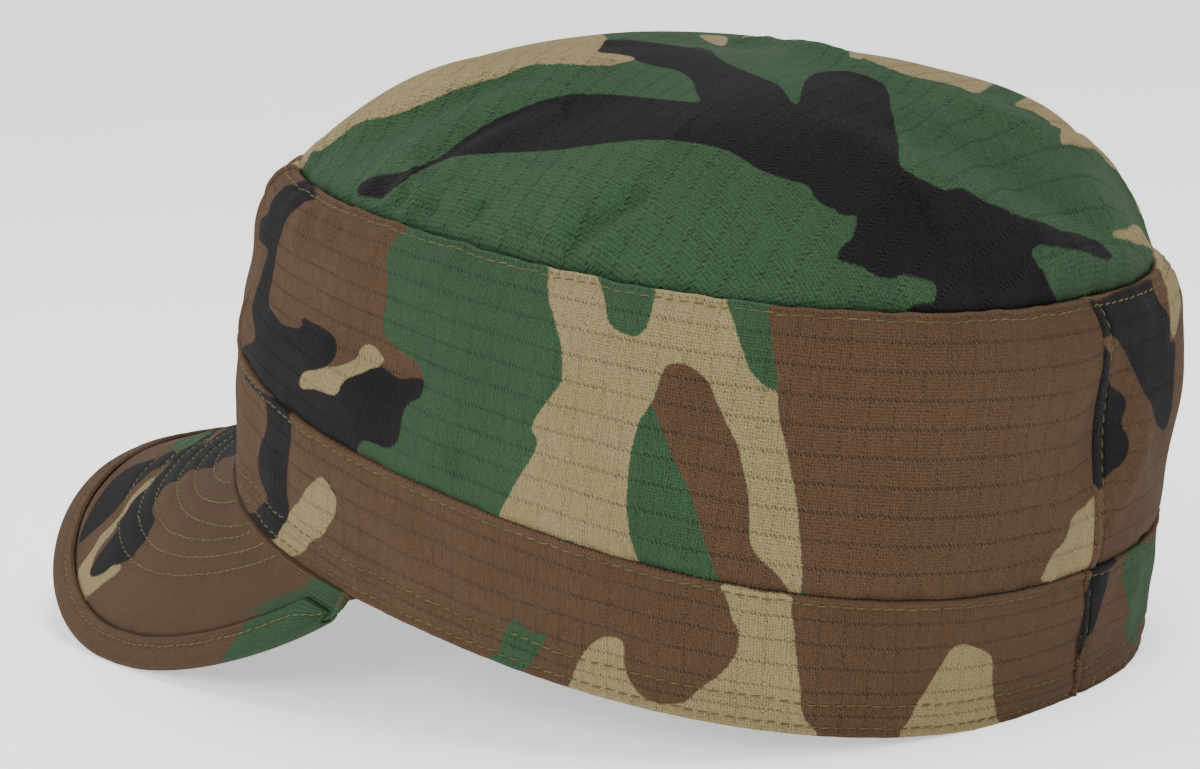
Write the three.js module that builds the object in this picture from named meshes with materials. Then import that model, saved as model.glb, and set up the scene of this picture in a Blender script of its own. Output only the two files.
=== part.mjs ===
// Patrol cap of woodland-pattern ripstop cloth, standing on the back of its rim and on its visor.
// Lengths are millimetres. The cap is drawn in its own frame first, with its rim near z = 0,
// the wearer facing -Y and the wearer's left at +X, and is then tipped back until it rests.

import * as THREE from 'three';
import { mergeVertices } from 'three/addons/utils/BufferGeometryUtils.js';

// Outside sizes of the three levels that the cap is cut to.
const RIM_LENGTH = 198;
const RIM_WIDTH = 171;
const RIM_SET_BACK = 2;
const BAND_TOP_LENGTH = 198;
const BAND_TOP_WIDTH = 176;
const BAND_HEIGHT = 30;
const BAND_SLOPE = 3;
const FRONT_RISE = 4;
const TOP_LENGTH = 183;
const TOP_WIDTH = 156;
const TOP_SET_BACK = -1.4;
const CROWN_HEIGHT = 76;
const CROWN_SLOPE = -5.5;

// A power of 2 is an ellipse, and more is squarer at the temples.
const RIM_SQUARENESS = 2.34;
const TOP_SQUARENESS = 2.3;

// How far the soft cloth stands out of the straight line between its seams.
const WALL_SWELL_DEPTH = 5;
const BAND_SWELL_DEPTH = 0.5;
const DOME_RISE = 34;
const DOME_BACK = 25;
const FOLD_DEPTH = 3;

// Thickness of the cloth, with its turned edges, and the joint left between two pieces.
const WALL_CLOTH = 2;
const BAND_CLOTH = 2.6;
const TOP_CLOTH = 1.8;
const JOINT = 0.3;

// Seams up the crown, measured from the middle of the front.
const FRONT_SEAM_DEG = 44;
const BACK_SEAM_DEG = 180;

// Visor.
const VISOR_LENGTH = 62;
const VISOR_DROOP = 26;
const VISOR_SIDE_DROOP = 2.1;
const VISOR_DROOP_POWER = 0.68;
const VISOR_SQUARENESS = 2.38;
const VISOR_END_DEG = 82;
const VISOR_THICKNESS = 2.4;
const VISOR_EDGE_THICKNESS = 1.4;
const BINDING_WIDTH = 6.5;
const BINDING_CLOTH = 1;
const BINDING_START = 3;
const REBATE_STEP = 0.4;
// The visor and its binding end where they are still this long from root to tip.
const VISOR_END_REACH = 6;
const BINDING_END_REACH = 11;

// How far the cap's weight presses the rim's back and the visor's edge against the floor.
const SETTLE = 1.1;

// Mesh steps.
const FRONT_STEPS = 16;
const SIDE_STEPS = 24;
const VISOR_STEPS = 40;

// Sections of the crown's wall: share of its height, and share of WALL_SWELL_DEPTH there.
const WALL_SECTIONS = [
  { rise: 0, fullness: 0 },
  { rise: 0.2, fullness: 0.34 },
  { rise: 0.42, fullness: 0.58 },
  { rise: 0.64, fullness: 0.85 },
  { rise: 0.8, fullness: 1 },
  { rise: 0.91, fullness: 0.88 },
  { rise: 0.97, fullness: 0.52 },
  { rise: 1, fullness: 0 },
];

// Sections of the band: share of its height, and share of BAND_SWELL_DEPTH there.
const BAND_SECTIONS = [
  { rise: 0, fullness: 0 },
  { rise: 0.3, fullness: 0.8 },
  { rise: 0.7, fullness: 1 },
  { rise: 1, fullness: 0 },
];

// Sections of the top: share of the way from its seam to its middle, and share of DOME_RISE.
const TOP_SECTIONS = [
  { inset: 0, rise: 0 },
  { inset: 0.05, rise: 0.17 },
  { inset: 0.13, rise: 0.385 },
  { inset: 0.27, rise: 0.66 },
  { inset: 0.46, rise: 0.86 },
  { inset: 0.7, rise: 0.97 },
  { inset: 1, rise: 1 },
];

// Soft folds of the wall. at and width go round the crown in degrees, low and high are shares
// of the wall's height, and depth is a share of FOLD_DEPTH, with a dent below zero.
const WALL_FOLDS = [
  { at: 44, width: 14, low: 0.05, high: 0.98, depth: -0.7 },
  { at: 80, width: 26, low: 0.25, high: 0.62, depth: -0.5 },
  { at: 128, width: 20, low: 0.55, high: 1, depth: -0.45 },
  { at: 180, width: 16, low: 0, high: 0.98, depth: -1 },
  { at: 203, width: 22, low: 0.1, high: 0.95, depth: 0.6 },
  { at: 236, width: 30, low: 0.2, high: 0.8, depth: -0.6 },
  { at: 285, width: 26, low: 0.3, high: 0.75, depth: -0.4 },
  { at: 316, width: 14, low: 0.05, high: 0.98, depth: -0.7 },
];

// Soft folds of the top, where low and high are shares of the way from its seam to its middle.
const TOP_FOLDS = [
  { at: 34, width: 24, low: 0.02, high: 0.8, depth: 0.7 },
  { at: 60, width: 18, low: 0, high: 0.55, depth: -0.7 },
  { at: 84, width: 18, low: 0, high: 0.6, depth: -0.5 },
  { at: 140, width: 20, low: 0, high: 0.6, depth: -0.6 },
  { at: 165, width: 20, low: 0, high: 0.7, depth: 0.6 },
  { at: 215, width: 26, low: 0, high: 0.7, depth: -0.6 },
  { at: 300, width: 24, low: 0, high: 0.7, depth: -0.6 },
];

const LEVELS = {
  rim: {
    length: RIM_LENGTH,
    width: RIM_WIDTH,
    back: RIM_SET_BACK,
    height: 0,
    slope: 0,
    rise: FRONT_RISE,
    squareness: RIM_SQUARENESS,
  },
  bandTop: {
    length: BAND_TOP_LENGTH,
    width: BAND_TOP_WIDTH,
    back: 0,
    height: BAND_HEIGHT,
    slope: BAND_SLOPE,
    rise: FRONT_RISE,
    squareness: RIM_SQUARENESS,
  },
  topSeam: {
    length: TOP_LENGTH,
    width: TOP_WIDTH,
    back: TOP_SET_BACK,
    height: CROWN_HEIGHT,
    slope: CROWN_SLOPE,
    rise: 0,
    squareness: TOP_SQUARENESS,
  },
};

const radians = THREE.MathUtils.degToRad;

// A cosine or sine bent so that a pair of them draws a superellipse.
function bend(value, squareness) {
  return Math.sign(value) * Math.abs(value) ** (2 / squareness);
}

// A point of a level's outside, at an angle from the middle of the front.
function levelPoint(level, degrees) {
  const ahead = Math.cos(radians(degrees));
  const aside = Math.sin(radians(degrees));
  const x = (level.width / 2) * bend(aside, level.squareness);
  const y = level.back - (level.length / 2) * bend(ahead, level.squareness);
  const z = level.height + level.slope * ahead + level.rise * Math.max(ahead, 0) ** 2;
  return new THREE.Vector3(x, y, z);
}

// The level's horizontal outward direction.
function outward(level, degrees) {
  const before = levelPoint(level, degrees - 0.5);
  const after = levelPoint(level, degrees + 0.5);
  return new THREE.Vector3(after.y - before.y, before.x - after.x, 0).normalize();
}

// A column of a table at a given place, straight between its rows.
function fromTable(rows, place, value, at) {
  const next = Math.max(1, rows.findIndex((row) => row[place] >= at));
  const low = rows[next - 1];
  const high = rows[next];
  const share = (at - low[place]) / (high[place] - low[place]);
  return THREE.MathUtils.lerp(low[value], high[value], share);
}

// The height that the folds of a table give at a place.
function foldHeight(folds, degrees, share) {
  return folds.reduce((sum, fold) => {
    const turn = ((degrees - fold.at + 540) % 360) - 180;
    const around = turn / fold.width;
    const along = (share - (fold.low + fold.high) / 2) / (fold.high - fold.low);
    if (Math.abs(around) > 0.5 || Math.abs(along) > 0.5) {
      return sum;
    }
    const window = Math.cos(Math.PI * around) ** 2 * Math.cos(Math.PI * along) ** 2;
    return sum + FOLD_DEPTH * fold.depth * window;
  }, 0);
}

function bandPoint(degrees, rise) {
  const point = levelPoint(LEVELS.rim, degrees).lerp(levelPoint(LEVELS.bandTop, degrees), rise);
  const swell = BAND_SWELL_DEPTH * fromTable(BAND_SECTIONS, 'rise', 'fullness', rise);
  return point.addScaledVector(outward(LEVELS.bandTop, degrees), swell);
}

function wallPoint(degrees, rise) {
  const point = levelPoint(LEVELS.bandTop, degrees).lerp(levelPoint(LEVELS.topSeam, degrees), rise);
  const swell = WALL_SWELL_DEPTH * fromTable(WALL_SECTIONS, 'rise', 'fullness', rise);
  const fold = foldHeight(WALL_FOLDS, degrees, rise);
  return point.addScaledVector(outward(LEVELS.bandTop, degrees), swell + fold);
}

// The crest of the top is behind its middle, measured up from the seam's own slanting plane.
function topPoint(degrees, inset) {
  const seam = levelPoint(LEVELS.topSeam, degrees);
  const crestHeight = CROWN_HEIGHT - (CROWN_SLOPE * DOME_BACK) / (TOP_LENGTH / 2);
  const middle = new THREE.Vector3(0, TOP_SET_BACK + DOME_BACK, crestHeight);
  const dome = DOME_RISE * fromTable(TOP_SECTIONS, 'inset', 'rise', inset);
  const point = seam.lerp(middle, inset);
  point.z += dome + foldHeight(TOP_FOLDS, degrees, inset);
  return point;
}

// Unit vectors of a surface along its two directions and square to it, pointing out.
function tangents(surface, across, along, stepAcross, stepAlong, span) {
  const left = surface(across - stepAcross, along);
  const right = surface(across + stepAcross, along);
  const low = surface(across, Math.max(span[0], along - stepAlong));
  const high = surface(across, Math.min(span[1], along + stepAlong));
  const round = right.sub(left).normalize();
  const up = high.sub(low).normalize();
  return { round, up, out: new THREE.Vector3().crossVectors(round, up).normalize() };
}

const wallTangents = (degrees, rise) => tangents(wallPoint, degrees, rise, 1, 0.02, [0, 1]);
const bandTangents = (degrees, rise) => tangents(bandPoint, degrees, rise, 1, 0.05, [0, 1]);
const topTangents = (degrees, inset) => tangents(topPoint, degrees, inset, 1, 0.02, [0, 0.98]);

// The slanting line through both cloths where two surfaces meet in a seam.
function mitre(first, second) {
  const out = first.out.clone().add(second.out).normalize();
  return out.divideScalar(out.dot(first.out));
}

const BOTTOM_ROW = 0;

// A closed wall between an outer and an inner grid of points, with rows from edge to edge.
// A ring joins its last column to its first, and a cap closes its last row in one point.
function clothWall(outer, inner, { ring = false, cap = false } = {}) {
  const rows = outer.length;
  const columns = outer[BOTTOM_ROW].length;
  const vertices = [...outer.flat(), ...inner.flat()].flatMap((point) => point.toArray());
  const faces = [];
  const at = (layer, row, column) => (layer * rows + row) * columns + (column % columns);
  const quad = (a, b, c, d) => faces.push(a, b, c, a, c, d);
  const lastColumn = ring ? columns : columns - 1;
  for (let column = 0; column < lastColumn; column += 1) {
    for (let row = 0; row < rows - 1; row += 1) {
      quad(at(0, row, column), at(0, row, column + 1), at(0, row + 1, column + 1), at(0, row + 1, column));
      quad(at(1, row, column), at(1, row + 1, column), at(1, row + 1, column + 1), at(1, row, column + 1));
    }
    quad(at(1, 0, column), at(1, 0, column + 1), at(0, 0, column + 1), at(0, 0, column));
    if (!cap) {
      const end = rows - 1;
      quad(at(0, end, column), at(0, end, column + 1), at(1, end, column + 1), at(1, end, column));
    }
  }
  if (!ring) {
    const end = columns - 1;
    for (let row = 0; row < rows - 1; row += 1) {
      quad(at(0, row, 0), at(0, row + 1, 0), at(1, row + 1, 0), at(1, row, 0));
      quad(at(0, row, end), at(1, row, end), at(1, row + 1, end), at(0, row + 1, end));
    }
  }
  const loose = new THREE.BufferGeometry();
  loose.setAttribute('position', new THREE.Float32BufferAttribute(vertices, 3));
  loose.setIndex(faces);
  return withoutEmptyFaces(mergeVertices(loose, 1e-4));
}

// Merging the points of a closed middle leaves faces with no area, which are taken out.
function withoutEmptyFaces(geometry) {
  const index = geometry.getIndex().array;
  const kept = [];
  for (let i = 0; i < index.length; i += 3) {
    const [a, b, c] = [index[i], index[i + 1], index[i + 2]];
    if (a !== b && b !== c && c !== a) {
      kept.push(a, b, c);
    }
  }
  geometry.setIndex(kept);
  return geometry;
}

// Angles from one seam to the next, in even steps.
function angles(from, to, steps) {
  return Array.from({ length: steps + 1 }, (_, i) => from + ((to - from) * i) / steps);
}

// The angle that half a joint takes at a seam.
const halfJointDeg = THREE.MathUtils.radToDeg(JOINT / BAND_TOP_WIDTH);

function sidePanel(from, to, steps) {
  const columns = angles(from + halfJointDeg, to - halfJointDeg, steps);
  const last = WALL_SECTIONS.length - 1;
  const outer = [];
  const inner = [];
  WALL_SECTIONS.forEach(({ rise }, row) => {
    const outerRow = columns.map((degrees) => {
      const { up } = wallTangents(degrees, rise);
      const shift = (row === 0) - (row === last);
      return wallPoint(degrees, rise).addScaledVector(up, (shift * JOINT) / 2);
    });
    const innerRow = columns.map((degrees, i) => {
      const here = wallTangents(degrees, rise);
      let through = here.out;
      if (row === 0) {
        through = mitre(here, bandTangents(degrees, 1));
      } else if (row === last) {
        through = mitre(here, topTangents(degrees, 0));
      }
      return outerRow[i].clone().addScaledVector(through, -WALL_CLOTH);
    });
    outer.push(outerRow);
    inner.push(innerRow);
  });
  return clothWall(outer, inner);
}

// The same angles as the side panels have, once round the cap.
function ringAngles() {
  const left = angles(FRONT_SEAM_DEG, BACK_SEAM_DEG, SIDE_STEPS);
  const right = angles(BACK_SEAM_DEG, 360 - FRONT_SEAM_DEG, SIDE_STEPS);
  const front = angles(-FRONT_SEAM_DEG, FRONT_SEAM_DEG, FRONT_STEPS);
  return [...front.slice(0, -1), ...left.slice(0, -1), ...right.slice(0, -1)];
}

function band() {
  const columns = ringAngles();
  const last = BAND_SECTIONS.length - 1;
  const outer = [];
  const inner = [];
  BAND_SECTIONS.forEach(({ rise }, row) => {
    const outerRow = columns.map((degrees) => {
      const { up } = bandTangents(degrees, rise);
      return bandPoint(degrees, rise).addScaledVector(up, row === last ? -JOINT / 2 : 0);
    });
    const innerRow = columns.map((degrees, i) => {
      const here = bandTangents(degrees, rise);
      let through = here.out;
      if (row === 0) {
        through = outward(LEVELS.rim, degrees);
      } else if (row === last) {
        through = mitre(here, wallTangents(degrees, 0));
      }
      return outerRow[i].clone().addScaledVector(through, -BAND_CLOTH);
    });
    outer.push(outerRow);
    inner.push(innerRow);
  });
  return clothWall(outer, inner, { ring: true });
}

function crownTop() {
  const columns = ringAngles();
  const last = TOP_SECTIONS.length - 1;
  const outer = [];
  const inner = [];
  TOP_SECTIONS.forEach(({ inset }, row) => {
    const outerRow = columns.map((degrees) => {
      const { up } = topTangents(degrees, inset);
      return topPoint(degrees, inset).addScaledVector(up, row === 0 ? JOINT / 2 : 0);
    });
    const innerRow = columns.map((degrees, i) => {
      if (row === last) {
        return outerRow[i].clone().add(new THREE.Vector3(0, 0, -TOP_CLOTH));
      }
      const here = topTangents(degrees, inset);
      const through = row === 0 ? mitre(here, wallTangents(degrees, 1)) : here.out;
      return outerRow[i].clone().addScaledVector(through, -TOP_CLOTH);
    });
    outer.push(outerRow);
    inner.push(innerRow);
  });
  return clothWall(outer, inner, { ring: true, cap: true });
}

// The visor is ruled from the rim to its outer edge. edge runs from -90 to 90 degrees.
function visorRoot(edge) {
  return levelPoint(LEVELS.rim, (edge / 90) * VISOR_END_DEG);
}

function freeVisorTip(edge) {
  const end = levelPoint(LEVELS.rim, VISOR_END_DEG);
  const ahead = Math.max(Math.cos(radians(edge)), 0);
  const aside = Math.sin(radians(edge));
  const reach = RIM_LENGTH / 2 + VISOR_LENGTH + end.y - RIM_SET_BACK;
  const x = (end.x + JOINT) * bend(aside, VISOR_SQUARENESS);
  const y = end.y - reach * bend(ahead, VISOR_SQUARENESS);
  const drop = VISOR_DROOP * ahead ** VISOR_DROOP_POWER * (1 + VISOR_SIDE_DROOP * aside ** 2);
  return new THREE.Vector3(x, y, end.z - drop);
}

// Tipping the cap back until the back of its rim and its visor's edge reach one level.
function tipped(point, pitch) {
  return point.clone().applyAxisAngle(new THREE.Vector3(1, 0, 0), -pitch);
}

function lowest(points, pitch) {
  return Math.min(...points.map((point) => tipped(point, pitch).z));
}

function restingPitch(rearPoints, visorPoints) {
  let low = 0;
  let high = radians(30);
  for (let step = 0; step < 40; step += 1) {
    const pitch = (low + high) / 2;
    if (lowest(rearPoints, pitch) > lowest(visorPoints, pitch)) {
      low = pitch;
    } else {
      high = pitch;
    }
  }
  return low;
}

// Half the thickness of the bound edge, and its middle's depth below the rim's own level.
const EDGE_HALF = VISOR_EDGE_THICKNESS / 2 + JOINT + BINDING_CLOTH;
const VISOR_DEPTH = JOINT + VISOR_THICKNESS / 2;

const rearRim = angles(90, 270, 60).map((degrees) => levelPoint(LEVELS.rim, degrees));
const visorEdge = angles(-80, 80, 80).map((edge) => freeVisorTip(edge));
visorEdge.forEach((point) => point.setZ(point.z - VISOR_DEPTH - EDGE_HALF));
const PITCH = restingPitch(rearRim, visorEdge);
const FLOOR = lowest(rearRim, PITCH) + SETTLE;

// The visor's edge bends up where the floor meets it.
function visorTip(edge) {
  const tip = freeVisorTip(edge);
  const height = tipped(tip, PITCH).z - VISOR_DEPTH - EDGE_HALF - FLOOR + SETTLE;
  const lift = new THREE.Vector3(0, 0, Math.max(0, -height));
  return tip.add(tipped(lift, -PITCH));
}

// The middle of the visor's thickness, clear below the band's lower edge.
function visorPoint(edge, reach) {
  const point = visorRoot(edge).lerp(visorTip(edge), reach);
  point.z -= VISOR_DEPTH;
  return point;
}

const visorTangents = (edge, reach) => tangents(visorPoint, edge, reach, 0.3, 0.02, [0, 1]);

// Share of the reach at which the edge binding starts, square to the visor's edge and, near
// the visor's ends, clear of the band.
function bindingReach(edge) {
  const toTip = visorTip(edge).sub(visorRoot(edge));
  const along = visorTip(edge + 2).sub(visorTip(edge - 2)).normalize();
  const square = toTip.clone().cross(along).length();
  return Math.max(BINDING_START / toTip.length(), 1 - BINDING_WIDTH / square);
}

// Length of the visor from its root to its tip.
function visorReach(edge) {
  return visorTip(edge).distanceTo(visorRoot(edge));
}

// Places along the visor's edge that are equally far apart, from end to end.
function visorColumns() {
  const fine = angles(-90, 90, 800).filter((edge) => visorReach(edge) > VISOR_END_REACH);
  const travel = [0];
  fine.slice(1).forEach((edge, i) => {
    travel.push(travel[i] + visorTip(edge).distanceTo(visorTip(fine[i])));
  });
  return angles(0, travel[travel.length - 1], VISOR_STEPS).map((length) => {
    const next = travel.findIndex((sum) => sum >= length - 1e-9);
    return fine[next];
  });
}


function visor() {
  const columns = visorColumns();
  const cut = columns.map((edge) => bindingReach(edge));
  const step = columns.map((edge) => reachShare(edge, REBATE_STEP));
  const full = VISOR_THICKNESS / 2;
  const thin = VISOR_EDGE_THICKNESS / 2;
  const shares = [0, 0.33, 0.67, 1];
  const sheet = (side) => {
    const grid = [
      columns.map((edge) => {
        const tongue = BAND_CLOTH - JOINT;
        const inward = outward(LEVELS.rim, (edge / 90) * VISOR_END_DEG).multiplyScalar(-tongue);
        return visorPoint(edge, 0).add(inward).add(new THREE.Vector3(0, 0, side * full));
      }),
    ];
    shares.forEach((share) => {
      grid.push(columns.map((edge, i) => offsetVisor(edge, (cut[i] - step[i]) * share, side * full)));
    });
    grid.push(columns.map((edge, i) => offsetVisor(edge, cut[i] + step[i], side * thin)));
    grid.push(columns.map((edge) => offsetVisor(edge, 1, side * thin)));
    return grid;
  };
  return clothWall(sheet(-1), sheet(1));
}

// A length in the visor's surface as a share of its reach from root to tip.
function reachShare(edge, length) {
  return length / visorReach(edge);
}

function offsetVisor(edge, reach, height) {
  const { out } = visorTangents(edge, reach);
  const up = out.z < 0 ? out.negate() : out;
  return visorPoint(edge, reach).addScaledVector(up, height);
}

// The strip of cloth folded round the visor's edge, as a wall in the shape of a U.
function visorBinding() {
  const columns = visorColumns().filter((edge) => visorReach(edge) > BINDING_END_REACH);
  const strip = (gap, over) => {
    const rows = [
      { from: 'cut', height: gap },
      { from: 'edge', height: gap },
      { from: 'over', height: gap * 0.6 },
      { from: 'over', height: -gap * 0.6 },
      { from: 'edge', height: -gap },
      { from: 'cut', height: -gap },
    ];
    return rows.map(({ from, height }) => columns.map((edge) => {
      const start = bindingReach(edge) + reachShare(edge, REBATE_STEP + JOINT);
      const point = offsetVisor(edge, from === 'cut' ? start : 1, height);
      const { up } = visorTangents(edge, 1);
      return point.addScaledVector(up, from === 'over' ? over : 0);
    }));
  };
  return clothWall(strip(EDGE_HALF - BINDING_CLOTH, JOINT), strip(EDGE_HALF, JOINT + BINDING_CLOTH));
}

function pointsOf(geometry) {
  const position = geometry.getAttribute('position');
  return Array.from({ length: position.count }, (_, i) => new THREE.Vector3().fromBufferAttribute(position, i));
}

const GREEN_CLOTH = 0x3d5c42;
const BROWN_CLOTH = 0x5a4636;

const pieces = [
  { name: 'crown_top', color: GREEN_CLOTH, geometry: crownTop() },
  { name: 'crown_front', color: BROWN_CLOTH, geometry: sidePanel(-FRONT_SEAM_DEG, FRONT_SEAM_DEG, FRONT_STEPS) },
  { name: 'crown_left', color: GREEN_CLOTH, geometry: sidePanel(FRONT_SEAM_DEG, BACK_SEAM_DEG, SIDE_STEPS) },
  { name: 'crown_right', color: GREEN_CLOTH, geometry: sidePanel(BACK_SEAM_DEG, 360 - FRONT_SEAM_DEG, SIDE_STEPS) },
  { name: 'band', color: BROWN_CLOTH, geometry: band() },
  { name: 'visor', color: GREEN_CLOTH, geometry: visor() },
  { name: 'visor_binding', color: BROWN_CLOTH, geometry: visorBinding() },
];

const piecePoints = Object.fromEntries(pieces.map(({ name, geometry }) => [name, pointsOf(geometry)]));

// Each piece is tipped, lowered and pressed flat where it would go below the floor.
pieces.forEach(({ name, geometry }) => {
  const position = geometry.getAttribute('position');
  piecePoints[name].forEach((point, i) => {
    const rested = tipped(point, PITCH);
    position.setXYZ(i, rested.x, rested.y, Math.max(rested.z - FLOOR, 0));
  });
  geometry.computeVertexNormals();
  geometry.computeBoundingBox();
});

const cap = new THREE.Group();
pieces.forEach(({ name, color, geometry }) => {
  const material = new THREE.MeshStandardMaterial({ color, roughness: 0.9, metalness: 0 });
  const mesh = new THREE.Mesh(geometry, material);
  mesh.name = name;
  cap.add(mesh);
});

// The origin is the middle of the cap's footprint, on the floor.
const middle = new THREE.Box3().setFromObject(cap).getCenter(new THREE.Vector3());
cap.position.set(-middle.x, -middle.y, 0);
cap.updateMatrixWorld(true);

export default cap;
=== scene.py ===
# %% [markdown]
# # A woodland patrol cap
#
# The cap is sewn from seven pieces of printed ripstop: a domed top, a front panel, two side
# panels, a band, a stiff visor and the strip that binds the visor's edge. We rebuild each of
# them as a wall of cloth with an inside and an outside, in the same place as its CAD solid.
#
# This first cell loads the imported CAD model. It is the frame that every piece is built in.

# %% Load the frame
import math

import bpy
import numpy as np
from mathutils import Matrix, Vector


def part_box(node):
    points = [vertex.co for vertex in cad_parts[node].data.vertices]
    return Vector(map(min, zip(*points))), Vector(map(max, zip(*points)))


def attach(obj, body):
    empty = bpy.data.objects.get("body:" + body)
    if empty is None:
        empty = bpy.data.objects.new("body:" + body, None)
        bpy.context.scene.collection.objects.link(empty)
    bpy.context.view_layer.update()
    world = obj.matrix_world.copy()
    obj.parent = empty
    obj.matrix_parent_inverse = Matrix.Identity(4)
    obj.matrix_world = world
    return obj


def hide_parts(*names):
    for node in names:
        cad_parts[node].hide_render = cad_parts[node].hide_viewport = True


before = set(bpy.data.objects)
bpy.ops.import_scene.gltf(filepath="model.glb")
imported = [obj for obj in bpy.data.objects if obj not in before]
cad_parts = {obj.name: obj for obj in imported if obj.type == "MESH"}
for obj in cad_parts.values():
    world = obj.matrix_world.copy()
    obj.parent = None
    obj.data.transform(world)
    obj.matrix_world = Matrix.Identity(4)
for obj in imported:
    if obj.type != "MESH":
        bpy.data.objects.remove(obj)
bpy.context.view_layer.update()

MM = 0.001

# %% [markdown]
# ## The cap's own sizes
#
# A cap is cut to three levels: the rim, the top of the band and the seam of the crown. Each
# is an oval that is a little square at the temples, so a superellipse suits it better than an
# ellipse. The names and values are the same as in the CAD source, in millimetres.

# %% Sizes and levels
RIM = dict(length=198, width=171, back=2, height=0, slope=0, rise=4, square=2.34)
BAND_TOP = dict(length=198, width=176, back=0, height=30, slope=3, rise=4, square=2.34)
TOP_SEAM = dict(length=183, width=156, back=-1.4, height=76, slope=-5.5, rise=0, square=2.3)
WALL_SWELL, BAND_SWELL = 5, 0.5
DOME_RISE, DOME_BACK, FOLD_DEPTH = 34, 25, 3
WALL_CLOTH, BAND_CLOTH, TOP_CLOTH, JOINT = 2.0, 2.6, 1.8, 0.3
FRONT_SEAM, BACK_SEAM = 44, 180

VISOR_LENGTH, VISOR_DROOP, VISOR_SIDE_DROOP, VISOR_DROOP_POWER = 62, 26, 2.1, 0.68
VISOR_SQUARE, VISOR_END = 2.38, 82
VISOR_THICKNESS, VISOR_EDGE_THICKNESS = 2.4, 1.4
BINDING_WIDTH, BINDING_CLOTH, BINDING_START = 6.5, 1, 3
VISOR_END_REACH, BINDING_END_REACH = 4, 6
SETTLE = 1.1
EDGE_HALF = VISOR_EDGE_THICKNESS / 2 + JOINT + BINDING_CLOTH
VISOR_DEPTH = JOINT + VISOR_THICKNESS / 2

# Each row is a place from 0 to 1 and the share of the swell or rise there.
WALL_SECTIONS = [(0, 0), (0.2, 0.34), (0.42, 0.58), (0.64, 0.85), (0.8, 1), (0.91, 0.88),
                 (0.97, 0.52), (1, 0)]
BAND_SECTIONS = [(0, 0), (0.3, 0.8), (0.7, 1), (1, 0)]
TOP_SECTIONS = [(0, 0), (0.05, 0.17), (0.13, 0.385), (0.27, 0.66), (0.46, 0.86), (0.7, 0.97),
                (1, 1)]

# Each row is: middle in degrees, width in degrees, from and to as shares, share of FOLD_DEPTH.
WALL_FOLDS = [(44, 14, 0.05, 0.98, -0.7), (80, 26, 0.25, 0.62, -0.5), (128, 20, 0.55, 1, -0.45),
              (180, 16, 0, 0.98, -1), (203, 22, 0.1, 0.95, 0.6), (236, 30, 0.2, 0.8, -0.6),
              (285, 26, 0.3, 0.75, -0.4), (316, 14, 0.05, 0.98, -0.7)]
TOP_FOLDS = [(34, 24, 0.02, 0.8, 0.7), (60, 18, 0, 0.55, -0.7), (84, 18, 0, 0.6, -0.5),
             (140, 20, 0, 0.6, -0.6), (165, 20, 0, 0.7, 0.6), (215, 26, 0, 0.7, -0.6),
             (300, 24, 0, 0.7, -0.6)]

# %% [markdown]
# ## The skin of the cap as functions
#
# A modeller could push a cage of points about by hand. Formulas suit a sewn cap better,
# because every seam then runs exactly where two pieces meet. Each function takes arrays of
# angles and shares and gives a grid of points, with the wearer facing -Y.

# %% Level, band, wall and top
def unit(v):
    return v / np.maximum(np.linalg.norm(v, axis=-1, keepdims=True), 1e-12)


def mix(a, b, share):
    return a + (b - a) * share


def smooth_table(rows, at):
    """A smooth curve through a short table of places and values."""
    x, y = np.array(rows, float).T
    slope = np.gradient(y, x)
    i = np.clip(np.searchsorted(x, at, side="right") - 1, 0, len(x) - 2)
    span = x[i + 1] - x[i]
    t = np.clip((at - x[i]) / span, 0, 1)
    start = y[i] * (1 + 2 * t) + slope[i] * span * t
    end = y[i + 1] * (3 - 2 * t) - slope[i + 1] * span * (1 - t)
    return start * (1 - t) ** 2 + end * t ** 2


def bend(value, square):
    return np.sign(value) * np.abs(value) ** (2 / square)


def level_point(level, degrees):
    ahead, aside = np.cos(np.radians(degrees)), np.sin(np.radians(degrees))
    x = level["width"] / 2 * bend(aside, level["square"])
    y = level["back"] - level["length"] / 2 * bend(ahead, level["square"])
    z = level["height"] + level["slope"] * ahead + level["rise"] * np.maximum(ahead, 0) ** 2
    return np.stack([x, y, z], -1)


def outward(level, degrees):
    turn = level_point(level, degrees + 0.5) - level_point(level, degrees - 0.5)
    return unit(np.stack([turn[..., 1], -turn[..., 0], 0 * turn[..., 0]], -1))


def fold_height(folds, degrees, share):
    total = np.zeros(np.broadcast(degrees, share).shape)
    for at, width, low, high, depth in folds:
        around = ((degrees - at + 540) % 360 - 180) / width
        along = (share - (low + high) / 2) / (high - low)
        window = np.cos(np.pi * around) ** 2 * np.cos(np.pi * along) ** 2
        total += depth * FOLD_DEPTH * window * (abs(around) < 0.5) * (abs(along) < 0.5)
    return total


def band_point(degrees, rise):
    base = mix(level_point(RIM, degrees), level_point(BAND_TOP, degrees), rise[..., None])
    swell = BAND_SWELL * smooth_table(BAND_SECTIONS, rise)
    return base + outward(BAND_TOP, degrees) * swell[..., None]


def wall_point(degrees, rise):
    base = mix(level_point(BAND_TOP, degrees), level_point(TOP_SEAM, degrees), rise[..., None])
    swell = WALL_SWELL * smooth_table(WALL_SECTIONS, rise) + fold_height(WALL_FOLDS, degrees, rise)
    return base + outward(BAND_TOP, degrees) * swell[..., None]


def top_point(degrees, inset):
    crest = TOP_SEAM["height"] - TOP_SEAM["slope"] * DOME_BACK / (TOP_SEAM["length"] / 2)
    middle = np.array([0, TOP_SEAM["back"] + DOME_BACK, crest])
    point = mix(level_point(TOP_SEAM, degrees), middle, inset[..., None])
    point[..., 2] += DOME_RISE * smooth_table(TOP_SECTIONS, inset)
    point[..., 2] += fold_height(TOP_FOLDS, degrees, inset)
    return point


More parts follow.
